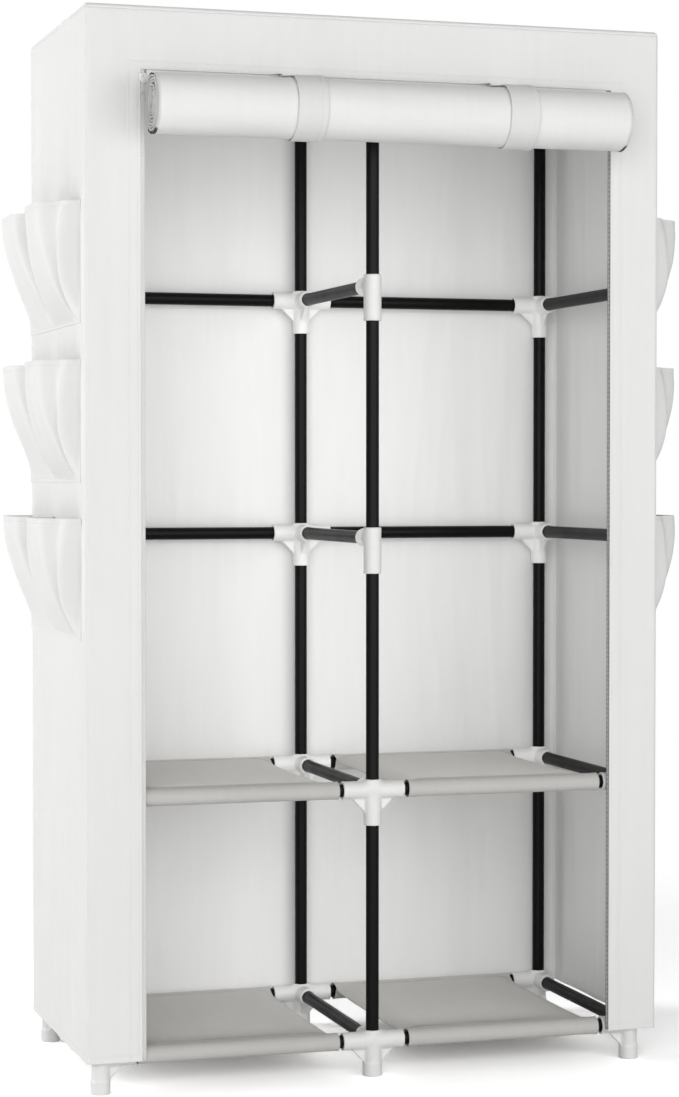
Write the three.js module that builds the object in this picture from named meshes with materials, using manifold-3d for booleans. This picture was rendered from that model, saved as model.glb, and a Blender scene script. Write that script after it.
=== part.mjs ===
// A portable fabric wardrobe: steel tubes pushed into moulded corner connectors, four fabric
// shelves, and a sewn cover with a door that rolls up and outside pockets on both sides.
// Millimetres, +X to the right, +Y to the rear, +Z up. The door faces -Y.

import * as THREE from 'three';
import { mergeVertices } from 'three/addons/utils/BufferGeometryUtils.js';
import Module from 'manifold-3d';

const wasm = await Module();
wasm.setup();

// Shared clearances and facets
const CLEARANCE = 0.3;
const OVERRUN = 1;
const ROUND_SIDES = 12;

// Frame: two bays side by side, two rows of uprights, five levels of cross tubes
const BAY_WIDTH = 427;
const FRAME_DEPTH = 392.8;
const LEVEL_PITCH = 387;
const LEVEL_COUNT = 5;
const TUBE_RADIUS = 10;
const TUBE_WALL = 0.5;
const COLUMN_NAMES = ['left', 'middle', 'right'];
const BAY_NAMES = ['left', 'right'];
const LEVELS_WITH_FRONT_TUBES = [0, 1, LEVEL_COUNT - 1];

// Moulded connectors
const SLEEVE_RADIUS = 13.65;
const SLEEVE_ABOVE = 16.5;
const SLEEVE_BELOW = 55.5;
const SIDE_SOCKET_REACH = 49;
const DEPTH_SOCKET_REACH = 44;
const SOCKET_FLOOR = 14.5;
const CAP_THICKNESS = 3;
const GUSSET_REACH = 33;
const GUSSET_DROP = 20;
const GUSSET_THICKNESS = 6;
const FOOT_RADIUS = 14.7;
const FOOT_HEIGHT = 20;
const FOOT_FLOOR = 5;
const BASE_LEVEL = 54.5;

// Fabric shelves on the two lowest levels
const SHELF_LEVELS = [0, 1];
const SHELF_SLEEVE_RADIUS = 13.3;
const SHELF_SLEEVE_INSET = 56;
const SHELF_DECK_INSET = 69;
const SHELF_DECK_THICKNESS = 2;
const SHELF_SAG = 3;
const SHELF_SAG_STEPS = 6;

// Sewn cover
const FABRIC = 1;
const SLACK_LEFT = 10.45;
const SLACK_RIGHT = 23.15;
const SLACK_FRONT = 7.85;
const SLACK_REAR = 4.05;
const HEM_HEIGHT = 49.4;
const HEM_BAND = 12;
const HEADER_HEIGHT = 95;
const LEFT_JAMB_WIDTH = 90;
const RIGHT_JAMB_WIDTH = 84;

// Zips down both edges of the door opening
const ZIP_TAPE_WIDTH = 22;
const ZIP_TAPE_THICKNESS = 1;
const ZIP_CHAIN_WIDTH = 3;
const ZIP_CHAIN_THICKNESS = 2.4;
const ZIP_CHAIN_PROUD = 1;
const ZIP_SEAM_OVERLAP = 12;
const SLIDER_PLATE = 2;
const SLIDER_NECK = 2.2;
const SLIDER_WIDTH = 12;
const SLIDER_LENGTH = 14;
const SLIDER_TAPER = 3;
const SLIDER_TOP_GAP = 6;
const PULL_WIDTH = 6;
const PULL_LENGTH = 26;
const PULL_THICKNESS = 1.2;
const PULL_EYE_RADIUS = 1.6;

// Door rolled up under the header, and the two straps that hold it
const ROLL_RADIUS = 47.2;
const ROLL_PITCH = 4.6;
const ROLL_TURNS = 8;
const ROLL_STEPS_PER_TURN = 16;
const ROLL_STAND_OFF = 5.3;
const ROLL_DROP_BELOW_HEADER = 55;
const ROLL_END_OVERHANG = 1;
const DOOR_CLOTH = 1.2;
const LEADER_TAIL = 12;
const LEADER_INSET = 9;
const STRAP_WIDTH = 46;
const STRAP_THICKNESS = 1;
const STRAP_ARC_STEPS = 14;
const LEFT_STRAP_OFFSET = 138;
const RIGHT_STRAP_OFFSET = 195.5;
const LEAST_WINDING_GAP = 0.4;

// Outside pockets: three rows on each side, two pleated pockets in a row
const POCKET_ROW_NAMES = ['bottom', 'middle', 'top'];
const POCKETS_PER_ROW = 2;
const POCKET_LOWEST_SEAM = 677;
const POCKET_ROW_PITCH = 237;
const POCKET_HEIGHT = 183;
const POCKET_FRONT_MARGIN = 33;
const POCKET_REAR_MARGIN = 1.6;
const POCKET_FABRIC = 1;
const LEFT_POCKET_DEPTH = 53;
const RIGHT_POCKET_DEPTH = 67;
const POCKET_FLATNESS_SHARE = 3.5;
const PLEAT_PLACE_SHARE = 0.14;
const PLEAT_WIDTH_SHARE = 0.045;
const PLEAT_DEPTH_SHARE = 0.22;
const POCKET_ACROSS_SHARES = [0, 0.03, 0.07, 0.105, 0.14, 0.19, 0.28, 0.42, 0.58, 0.74, 0.87, 0.95, 1];
const POCKET_UP_SHARES = [0, 0.07, 0.16, 0.28, 0.42, 0.6, 0.8, 1];
const FRONT_POCKET_RISE_SHARE = 0.5;
const REAR_POCKET_RISE_SHARE = 1.1;

// Places worked out from the sizes above
const FRONT_ROW = -FRAME_DEPTH / 2;
const REAR_ROW = FRAME_DEPTH / 2;
const TOP_LEVEL = BASE_LEVEL + (LEVEL_COUNT - 1) * LEVEL_PITCH;
const BORE_RADIUS = TUBE_RADIUS + CLEARANCE;
const UPRIGHT_FOOT = FOOT_FLOOR + CLEARANCE;
const UPRIGHT_HEAD = TOP_LEVEL + SLEEVE_ABOVE - CAP_THICKNESS - CLEARANCE;
const COVER_LEFT = -BAY_WIDTH - SLEEVE_RADIUS - SLACK_LEFT - FABRIC;
const COVER_RIGHT = BAY_WIDTH + SLEEVE_RADIUS + SLACK_RIGHT + FABRIC;
const COVER_FRONT = FRONT_ROW - SLEEVE_RADIUS - SLACK_FRONT - FABRIC;
const COVER_REAR = REAR_ROW + SLEEVE_RADIUS + SLACK_REAR + FABRIC;
const COVER_UNDERSIDE = TOP_LEVEL + SLEEVE_ABOVE + CLEARANCE;
const COVER_TOP = COVER_UNDERSIDE + FABRIC;
const WALL_TOP = COVER_UNDERSIDE - CLEARANCE;
const OPENING_LEFT = COVER_LEFT + LEFT_JAMB_WIDTH;
const OPENING_RIGHT = COVER_RIGHT - RIGHT_JAMB_WIDTH;
const OPENING_TOP = COVER_TOP - HEADER_HEIGHT;
const OPENING_CENTRE = (OPENING_LEFT + OPENING_RIGHT) / 2;
const ROLL_HEIGHT = OPENING_TOP - ROLL_DROP_BELOW_HEADER;
const ROLL_DEPTH = COVER_FRONT - ROLL_STAND_OFF - ROLL_RADIUS;

// Finishes
const FINISHES = {
  blackTube: { color: 0x1c1c1e, roughness: 0.38, metalness: 0.35 },
  whiteMoulding: { color: 0xe4e4e2, roughness: 0.45, metalness: 0 },
  whiteCloth: { color: 0xe8e8e7, roughness: 0.92, metalness: 0 },
  greyCloth: { color: 0xa8a6a3, roughness: 0.9, metalness: 0 },
  zipTape: { color: 0xdcdcda, roughness: 0.8, metalness: 0 },
  zipMetal: { color: 0x55555a, roughness: 0.35, metalness: 0.8 },
};

// A closed three.js geometry as a solid that can be joined and cut
function solidOf(geometry) {
  const bare = geometry.clone();
  bare.deleteAttribute('normal');
  bare.deleteAttribute('uv');
  const merged = mergeVertices(bare);
  return new wasm.Manifold(new wasm.Mesh({
    numProp: 3,
    vertProperties: new Float32Array(merged.attributes.position.array),
    triVerts: new Uint32Array(merged.index.array),
  }));
}

function geometryOf(solid) {
  const mesh = solid.getMesh();
  const geometry = new THREE.BufferGeometry();
  geometry.setAttribute('position', new THREE.BufferAttribute(new Float32Array(mesh.vertProperties), 3));
  geometry.setIndex(new THREE.BufferAttribute(new Uint32Array(mesh.triVerts), 1));
  geometry.computeVertexNormals();
  return geometry;
}

function joined(geometries) {
  return geometries.map(solidOf).reduce((whole, piece) => whole.add(piece));
}

function cutBy(solid, geometries) {
  return geometries.map(solidOf).reduce((rest, tool) => rest.subtract(tool), solid);
}

function finished(name, geometry, finish) {
  const mesh = new THREE.Mesh(geometry, new THREE.MeshStandardMaterial(FINISHES[finish]));
  mesh.name = name;
  return mesh;
}

// Turns a geometry built along +Z so that it runs along the named axis
function alongAxis(geometry, axis) {
  if (axis === 'x') geometry.rotateY(Math.PI / 2);
  if (axis === 'y') geometry.rotateX(-Math.PI / 2);
  return geometry;
}

// A round bar from one place to another on an axis
function bar(radius, from, to, axis) {
  const geometry = new THREE.CylinderGeometry(radius, radius, Math.abs(to - from), ROUND_SIDES);
  geometry.rotateX(Math.PI / 2);
  geometry.translate(0, 0, (from + to) / 2);
  return alongAxis(geometry, axis);
}

function block(low, high) {
  const size = high.map((value, axis) => value - low[axis]);
  const geometry = new THREE.BoxGeometry(...size);
  return geometry.translate(...high.map((value, axis) => (value + low[axis]) / 2));
}

function shapeFrom(points) {
  return new THREE.Shape(points.map(([across, up]) => new THREE.Vector2(across, up)));
}

// An outline drawn in X and Z, given a thickness in Y about the middle plane
function plateFacingFront(outline, thickness) {
  const geometry = new THREE.ExtrudeGeometry(outline, { depth: thickness, bevelEnabled: false });
  geometry.rotateX(Math.PI / 2);
  return geometry.translate(0, thickness / 2, 0);
}

// An outline drawn in Y and Z, carried along X from its start by its length
function carriedAcross(outline, start, length) {
  const geometry = new THREE.ExtrudeGeometry(outline, { depth: length, bevelEnabled: false });
  geometry.applyMatrix4(new THREE.Matrix4().set(
    0, 0, 1, start,
    1, 0, 0, 0,
    0, 1, 0, 0,
    0, 0, 0, 1,
  ));
  return geometry;
}

// A hollow steel tube, centred on its own axis
function steelTube(length, axis) {
  const inside = TUBE_RADIUS - TUBE_WALL;
  const profile = [
    [inside, 0], [TUBE_RADIUS, 0], [TUBE_RADIUS, length], [inside, length], [inside, 0],
  ].map(([radius, height]) => new THREE.Vector2(radius, height - length / 2));
  const geometry = new THREE.LatheGeometry(profile, ROUND_SIDES);
  geometry.rotateX(Math.PI / 2);
  return alongAxis(geometry, axis);
}

function levelHeight(level) {
  return BASE_LEVEL + level * LEVEL_PITCH;
}

function columnPlace(column) {
  return (column - 1) * BAY_WIDTH;
}

// Front cross tubes are left out of the two middle levels, so that clothes can hang there
function hasSideTubes(level, row) {
  return row === REAR_ROW || LEVELS_WITH_FRONT_TUBES.includes(level);
}

// Webs under a socket, drawn from the upright's axis outwards
function gusset(direction, axis) {
  const outline = shapeFrom([
    [0, 0],
    [GUSSET_REACH, 0],
    [GUSSET_REACH, -SLEEVE_RADIUS],
    [SLEEVE_RADIUS, -SLEEVE_RADIUS - GUSSET_DROP],
    [0, -SLEEVE_RADIUS - GUSSET_DROP],
  ]);
  const geometry = plateFacingFront(outline, GUSSET_THICKNESS);
  if (axis === 'x' && direction < 0) geometry.rotateZ(Math.PI);
  if (axis === 'y') geometry.rotateZ(direction * Math.PI / 2);
  return geometry;
}

// The outside and the bores of one moulded connector at the crossing of an upright and a level
function connectorParts(column, level, row) {
  const isFoot = level === 0;
  const isTop = level === LEVEL_COUNT - 1;
  const inward = row === FRONT_ROW ? 1 : -1;
  const below = isFoot ? BASE_LEVEL : SLEEVE_BELOW;
  const outside = [
    bar(SLEEVE_RADIUS, -below, SLEEVE_ABOVE, 'z'),
    bar(SLEEVE_RADIUS, 0, inward * DEPTH_SOCKET_REACH, 'y'),
    gusset(inward, 'y'),
  ];
  const boreLow = isFoot ? FOOT_FLOOR - BASE_LEVEL : -below - OVERRUN;
  const boreHigh = isTop ? SLEEVE_ABOVE - CAP_THICKNESS : SLEEVE_ABOVE + OVERRUN;
  const bores = [bar(BORE_RADIUS, boreLow, boreHigh, 'z')];
  if (isFoot) outside.push(bar(FOOT_RADIUS, -BASE_LEVEL, FOOT_HEIGHT - BASE_LEVEL, 'z'));
  if (hasSideTubes(level, row)) {
    const sides = [-1, 1].filter((side) => column + side >= 0 && column + side < COLUMN_NAMES.length);
    for (const side of sides) {
      outside.push(bar(SLEEVE_RADIUS, 0, side * SIDE_SOCKET_REACH, 'x'), gusset(side, 'x'));
      bores.push(bar(BORE_RADIUS, side * SOCKET_FLOOR, side * (SIDE_SOCKET_REACH + OVERRUN), 'x'));
    }
  }
  for (const geometry of [...outside, ...bores]) geometry.translate(0, row, 0);
  return { outside, bores };
}

// Front and rear connectors of one level, joined by the depth tube that is driven into both
function connectorPair(column, level) {
  const ends = [FRONT_ROW, REAR_ROW].map((row) => connectorParts(column, level, row));
  const depthTube = bar(TUBE_RADIUS, FRONT_ROW, REAR_ROW, 'y');
  const outside = joined([...ends.flatMap((end) => end.outside), depthTube]);
  const geometry = geometryOf(cutBy(outside, ends.flatMap((end) => end.bores)));
  const mesh = finished(`connector_pair_${COLUMN_NAMES[column]}_level_${level}`, geometry, 'whiteMoulding');
  mesh.position.set(columnPlace(column), 0, levelHeight(level));
  return mesh;
}

function upright(column, row, rowName) {
  const geometry = steelTube(UPRIGHT_HEAD - UPRIGHT_FOOT, 'z');
  const mesh = finished(`upright_${rowName}_${COLUMN_NAMES[column]}`, geometry, 'blackTube');
  mesh.position.set(columnPlace(column), row, (UPRIGHT_HEAD + UPRIGHT_FOOT) / 2);
  return mesh;
}

function sideTube(bay, level, row, rowName) {
  const geometry = steelTube(BAY_WIDTH - 2 * (SOCKET_FLOOR + CLEARANCE), 'x');
  const mesh = finished(`${rowName}_tube_${BAY_NAMES[bay]}_level_${level}`, geometry, 'blackTube');
  mesh.position.set((columnPlace(bay) + columnPlace(bay + 1)) / 2, row, levelHeight(level));
  return mesh;
}

function frame() {
  const group = new THREE.Group();
  const rows = [[FRONT_ROW, 'front'], [REAR_ROW, 'rear']];
  for (let column = 0; column < COLUMN_NAMES.length; column += 1) {
    for (const [row, rowName] of rows) group.add(upright(column, row, rowName));
    for (let level = 0; level < LEVEL_COUNT; level += 1) group.add(connectorPair(column, level));
  }
  for (let level = 0; level < LEVEL_COUNT; level += 1) {
    for (const [row, rowName] of rows.filter(([place]) => hasSideTubes(level, place))) {
      for (let bay = 0; bay < BAY_NAMES.length; bay += 1) group.add(sideTube(bay, level, row, rowName));
    }
  }
  return group;
}

// A deck of cloth that sags between two sleeves, each sewn round a side tube
function shelf(bay, level) {
  const sleeveLength = BAY_WIDTH - 2 * SHELF_SLEEVE_INSET;
  const deckLength = BAY_WIDTH - 2 * SHELF_DECK_INSET;
  const sag = (share) => -SHELF_SAG * (1 - (2 * share - 1) ** 2);
  const top = [];
  for (let step = 0; step <= SHELF_SAG_STEPS; step += 1) {
    const share = step / SHELF_SAG_STEPS;
    top.push([FRONT_ROW + share * FRAME_DEPTH, SHELF_SLEEVE_RADIUS + sag(share)]);
  }
  const bottom = top.map(([across, up]) => [across, up - SHELF_DECK_THICKNESS]).reverse();
  const outside = [carriedAcross(shapeFrom([...top, ...bottom]), -deckLength / 2, deckLength)];
  const bores = [];
  for (const row of [FRONT_ROW, REAR_ROW]) {
    outside.push(bar(SHELF_SLEEVE_RADIUS, -sleeveLength / 2, sleeveLength / 2, 'x').translate(0, row, 0));
    const bore = bar(BORE_RADIUS, -sleeveLength / 2 - OVERRUN, sleeveLength / 2 + OVERRUN, 'x');
    bores.push(bore.translate(0, row, 0));
  }
  const geometry = geometryOf(cutBy(joined(outside), bores));
  const mesh = finished(`shelf_${BAY_NAMES[bay]}_level_${level}`, geometry, 'greyCloth');
  mesh.position.set((columnPlace(bay) + columnPlace(bay + 1)) / 2, 0, levelHeight(level));
  return mesh;
}

function shelves() {
  const group = new THREE.Group();
  for (const level of SHELF_LEVELS) {
    for (let bay = 0; bay < BAY_NAMES.length; bay += 1) group.add(shelf(bay, level));
  }
  return group;
}

// A hanging wall of cloth with a double hem turned to the inside, built along +X, inside at +Y
function hemmedWall(length) {
  const height = WALL_TOP - HEM_HEIGHT;
  const outline = shapeFrom([
    [0, 0], [2 * FABRIC, 0], [2 * FABRIC, HEM_BAND], [FABRIC, HEM_BAND], [FABRIC, height], [0, height],
  ]);
  return carriedAcross(outline, -length / 2, length);
}

// Header and both jambs cut from one panel, round the door opening
function frontBorder() {
  const outline = shapeFrom([
    [COVER_LEFT, HEM_HEIGHT],
    [OPENING_LEFT, HEM_HEIGHT],
    [OPENING_LEFT, OPENING_TOP],
    [OPENING_RIGHT, OPENING_TOP],
    [OPENING_RIGHT, HEM_HEIGHT],
    [COVER_RIGHT, HEM_HEIGHT],
    [COVER_RIGHT, WALL_TOP],
    [COVER_LEFT, WALL_TOP],
  ]);
  const mesh = finished('cover_front_border', plateFacingFront(outline, FABRIC), 'whiteCloth');
  mesh.position.y = COVER_FRONT + FABRIC / 2;
  return mesh;
}

function cover() {
  const group = new THREE.Group();
  const wallFront = COVER_FRONT + FABRIC + CLEARANCE;
  const wallRear = COVER_REAR - 2 * FABRIC - CLEARANCE;
  const wallMiddle = (wallFront + wallRear) / 2;
  const top = finished('cover_top', block(
    [COVER_LEFT, COVER_FRONT, COVER_UNDERSIDE],
    [COVER_RIGHT, COVER_REAR, COVER_TOP],
  ), 'whiteCloth');
  const back = finished('cover_back', hemmedWall(COVER_RIGHT - COVER_LEFT), 'whiteCloth');
  back.rotation.z = Math.PI;
  back.position.set((COVER_LEFT + COVER_RIGHT) / 2, COVER_REAR, HEM_HEIGHT);
  const left = finished('cover_left', hemmedWall(wallRear - wallFront), 'whiteCloth');
  left.rotation.z = -Math.PI / 2;
  left.position.set(COVER_LEFT, wallMiddle, HEM_HEIGHT);
  const right = finished('cover_right', hemmedWall(wallRear - wallFront), 'whiteCloth');
  right.rotation.z = Math.PI / 2;
  right.position.set(COVER_RIGHT, wallMiddle, HEM_HEIGHT);
  group.add(top, back, left, right, frontBorder());
  return group;
}

// Side is -1 on the left of the opening and 1 on the right: the edge is where the chain meets the door
function openingEdge(side) {
  return side < 0 ? OPENING_LEFT : OPENING_RIGHT;
}

function zipTape(side, name) {
  const edge = openingEdge(side) - side * ZIP_CHAIN_PROUD;
  const front = COVER_FRONT + FABRIC + CLEARANCE;
  const outline = shapeFrom([
    [0, 0],
    [ZIP_CHAIN_WIDTH, 0],
    [ZIP_TAPE_WIDTH, 0],
    [ZIP_TAPE_WIDTH, ZIP_TAPE_THICKNESS],
    [ZIP_CHAIN_WIDTH, ZIP_TAPE_THICKNESS],
    [ZIP_CHAIN_WIDTH, ZIP_CHAIN_THICKNESS],
    [0, ZIP_CHAIN_THICKNESS],
  ].map(([across, depth]) => [side * across, depth]));
  const height = OPENING_TOP + ZIP_SEAM_OVERLAP - HEM_HEIGHT;
  const geometry = new THREE.ExtrudeGeometry(outline, { depth: height, bevelEnabled: false });
  const mesh = finished(`zip_tape_${name}`, geometry, 'zipTape');
  mesh.position.set(edge, front, HEM_HEIGHT);
  return mesh;
}

// Two shield-shaped plates joined by a neck through the opening, with the pull hanging in front
function zipSlider(side, name) {
  const neckOuter = side * (ZIP_CHAIN_PROUD + CLEARANCE + SLIDER_NECK);
  const neckInner = side * (ZIP_CHAIN_PROUD + CLEARANCE);
  const half = SLIDER_LENGTH / 2;
  const shield = (thickness) => plateFacingFront(shapeFrom([
    [neckOuter, half],
    [neckOuter - side * SLIDER_WIDTH, half],
    [neckOuter - side * SLIDER_WIDTH, SLIDER_TAPER - half],
    [neckOuter - side * (SLIDER_WIDTH - SLIDER_TAPER), -half],
    [neckOuter, -half],
  ].map(([across, up]) => [-across, up])), thickness);
  const frontFace = COVER_FRONT - CLEARANCE;
  const backFace = COVER_FRONT + FABRIC + 2 * CLEARANCE + ZIP_CHAIN_THICKNESS;
  const front = shield(SLIDER_PLATE).translate(0, frontFace - SLIDER_PLATE / 2, 0);
  const back = shield(SLIDER_PLATE).translate(0, backFace + SLIDER_PLATE / 2, 0);
  const neckSides = [-neckOuter, -neckInner].sort((a, b) => a - b);
  const neck = block(
    [neckSides[0], frontFace - SLIDER_PLATE, -half],
    [neckSides[1], backFace + SLIDER_PLATE, half],
  );
  const pullMiddle = -(neckOuter - side * SLIDER_WIDTH / 2);
  const pullTop = PULL_WIDTH / 2;
  const pullOutline = new THREE.Shape();
  pullOutline.moveTo(-PULL_WIDTH / 2, pullTop - PULL_LENGTH);
  pullOutline.lineTo(PULL_WIDTH / 2, pullTop - PULL_LENGTH);
  pullOutline.lineTo(PULL_WIDTH / 2, 0);
  pullOutline.absarc(0, 0, PULL_WIDTH / 2, 0, Math.PI, false);
  const eye = new THREE.Path();
  eye.absarc(0, pullTop - PULL_LENGTH + 2 * PULL_EYE_RADIUS, PULL_EYE_RADIUS, 0, 2 * Math.PI, true);
  pullOutline.holes.push(eye);
  const pullGeometry = new THREE.ExtrudeGeometry(pullOutline, {
    depth: PULL_THICKNESS + CLEARANCE, bevelEnabled: false, curveSegments: ROUND_SIDES / 2,
  });
  pullGeometry.rotateX(Math.PI / 2);
  const pull = pullGeometry.translate(pullMiddle, frontFace - SLIDER_PLATE + CLEARANCE, 0);
  const mesh = finished(`zip_slider_${name}`, geometryOf(joined([front, back, neck, pull])), 'zipMetal');
  mesh.position.set(openingEdge(side), 0, OPENING_TOP - SLIDER_TOP_GAP - half);
  return mesh;
}

// A strip of cloth seen on edge: the outline at half its thickness on both sides of a line of points
function ribbonOutline(points, thickness) {
  const sideOf = (sign) => points.map((point, index) => {
    const before = points[Math.max(index - 1, 0)];
    const after = points[Math.min(index + 1, points.length - 1)];
    const along = after.clone().sub(before).normalize();
    return new THREE.Vector2(-along.y, along.x).multiplyScalar(sign * thickness / 2).add(point);
  });
  return new THREE.Shape([...sideOf(1), ...sideOf(-1).reverse()]);
}

function aboutRoll(radius, angle) {
  return new THREE.Vector2(ROLL_DEPTH + radius * Math.cos(angle), ROLL_HEIGHT + radius * Math.sin(angle));
}

// The angle at which a line from a point touches a circle about the roll's axis
function touchAngle(point, radius, turn) {
  const offset = point.clone().sub(aboutRoll(0, 0));
  return Math.atan2(offset.y, offset.x) + turn * Math.acos(radius / offset.length());
}

// Behind the header lie, from front to rear: the strap's first end, the door cloth, the strap's other end
const STRAP_FRONT_END = COVER_FRONT + FABRIC + CLEARANCE + STRAP_THICKNESS / 2;
const LEADER_PLACE = STRAP_FRONT_END + STRAP_THICKNESS / 2 + CLEARANCE + DOOR_CLOTH / 2;
const STRAP_REAR_END = LEADER_PLACE + DOOR_CLOTH / 2 + CLEARANCE + STRAP_THICKNESS / 2;

// The door cloth hangs from the header, turns under the roll's axis and winds inwards:
// radius = outer radius - pitch x turns, for every turn about the roll's axis
function windingPoints() {
  const outer = ROLL_RADIUS - DOOR_CLOTH / 2;
  const hangsTo = new THREE.Vector2(LEADER_PLACE, OPENING_TOP - LEADER_TAIL);
  const start = touchAngle(hangsTo, outer, -1);
  const points = [new THREE.Vector2(LEADER_PLACE, OPENING_TOP + LEADER_TAIL), hangsTo];
  const steps = ROLL_TURNS * ROLL_STEPS_PER_TURN;
  for (let step = 0; step <= steps; step += 1) {
    const turns = step / ROLL_STEPS_PER_TURN;
    points.push(aboutRoll(outer - ROLL_PITCH * turns, start - 2 * Math.PI * turns));
  }
  return points;
}

// The least clear gap between points a whole turn or more apart on the winding
function windingGap(points) {
  let least = Infinity;
  for (let first = 2; first < points.length; first += 1) {
    for (let other = first + ROLL_STEPS_PER_TURN - 1; other < points.length; other += 1) {
      least = Math.min(least, points[first].distanceTo(points[other]));
    }
  }
  return least - DOOR_CLOTH;
}

function doorRoll() {
  const points = windingPoints();
  const gap = windingGap(points);
  console.log(`door winding: ${ROLL_TURNS} turns, least gap ${gap.toFixed(2)} mm`);
  if (gap < LEAST_WINDING_GAP) throw new Error('the turns of the rolled door are too close');
  const start = OPENING_LEFT - ROLL_END_OVERHANG;
  const length = OPENING_RIGHT - OPENING_LEFT;
  const winding = solidOf(carriedAcross(ribbonOutline(points, DOOR_CLOTH), start, length));
  const leaderFront = COVER_FRONT - ROLL_STAND_OFF + DOOR_CLOTH / 2;
  const notches = [[start, start + LEADER_INSET], [start + length - LEADER_INSET, start + length]];
  const tools = notches.map(([from, to]) => block(
    [from - OVERRUN, leaderFront, ROLL_HEIGHT - ROLL_RADIUS],
    [to + OVERRUN, LEADER_PLACE + DOOR_CLOTH, OPENING_TOP + LEADER_TAIL + OVERRUN],
  ));
  return finished('door_roll', geometryOf(cutBy(winding, tools)), 'whiteCloth');
}

// Out from behind the header, over the roll, round its front and underside, and back up behind it
function strap(offset, name) {
  const radius = ROLL_RADIUS + CLEARANCE + STRAP_THICKNESS / 2;
  const high = OPENING_TOP + LEADER_TAIL;
  const underHeader = OPENING_TOP - CLEARANCE - STRAP_THICKNESS;
  const firstEnd = [
    new THREE.Vector2(STRAP_FRONT_END, high),
    new THREE.Vector2(STRAP_FRONT_END, underHeader),
  ];
  const otherEnd = [
    new THREE.Vector2(STRAP_REAR_END, OPENING_TOP - LEADER_TAIL),
    new THREE.Vector2(STRAP_REAR_END, high),
  ];
  const from = touchAngle(firstEnd[1], radius, 1);
  const to = touchAngle(otherEnd[0], radius, -1) + 2 * Math.PI;
  const round = [];
  for (let step = 0; step <= STRAP_ARC_STEPS; step += 1) {
    round.push(aboutRoll(radius, from + (to - from) * step / STRAP_ARC_STEPS));
  }
  const outline = ribbonOutline([...firstEnd, ...round, ...otherEnd], STRAP_THICKNESS);
  const centre = OPENING_CENTRE + offset;
  return finished(`strap_${name}`, carriedAcross(outline, centre - STRAP_WIDTH / 2, STRAP_WIDTH), 'whiteCloth');
}

function door() {
  const group = new THREE.Group();
  for (const [side, name] of [[-1, 'left'], [1, 'right']]) {
    group.add(zipTape(side, name), zipSlider(side, name));
  }
  group.add(doorRoll(), strap(-LEFT_STRAP_OFFSET, 'left'), strap(RIGHT_STRAP_OFFSET, 'right'));
  return group;
}

// How far a pocket stands out, as a share of its depth, across its width and up its height.
// Across: 1 - |2u - 1| ^ flatness, less a bell-shaped pleat near the front edge that fades upwards.
// Up: height share ^ rise, the rise being fuller on the front pocket than on the rear one.
function pocketShare(pocket, across, up) {
  const crown = 1 - Math.abs(2 * across - 1) ** POCKET_FLATNESS_SHARE;
  const fromPleat = (across - PLEAT_PLACE_SHARE) / PLEAT_WIDTH_SHARE;
  const pleat = PLEAT_DEPTH_SHARE * Math.exp(-fromPleat * fromPleat) * (1 - up / 2);
  const rise = pocket === 0 ? FRONT_POCKET_RISE_SHARE : REAR_POCKET_RISE_SHARE;
  return Math.max(crown - pleat, 0) * up ** rise;
}

// Closes two equal grids of points, an outer and an inner face, into one thin solid
function thinSolid(outer, inner) {
  const rows = outer.length;
  const columns = outer[0].length;
  const positions = [...outer.flat(), ...inner.flat()].flatMap((point) => point.toArray());
  const innerStart = rows * columns;
  const indices = [];
  const quad = (a, b, c, d) => indices.push(a, b, c, a, c, d);
  for (let row = 0; row < rows - 1; row += 1) {
    for (let column = 0; column < columns - 1; column += 1) {
      const corner = row * columns + column;
      quad(corner, corner + 1, corner + columns + 1, corner + columns);
      const under = innerStart + corner;
      quad(under, under + columns, under + columns + 1, under + 1);
    }
  }
  const rim = [];
  for (let column = 0; column < columns - 1; column += 1) rim.push(column);
  for (let row = 0; row < rows - 1; row += 1) rim.push(row * columns + columns - 1);
  for (let column = columns - 1; column > 0; column -= 1) rim.push((rows - 1) * columns + column);
  for (let row = rows - 1; row > 0; row -= 1) rim.push(row * columns);
  rim.forEach((point, index) => {
    const next = rim[(index + 1) % rim.length];
    quad(point, innerStart + point, innerStart + next, next);
  });
  const geometry = new THREE.BufferGeometry();
  geometry.setAttribute('position', new THREE.Float32BufferAttribute(positions, 3));
  geometry.setIndex(indices);
  geometry.computeVertexNormals();
  return geometry;
}

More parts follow.
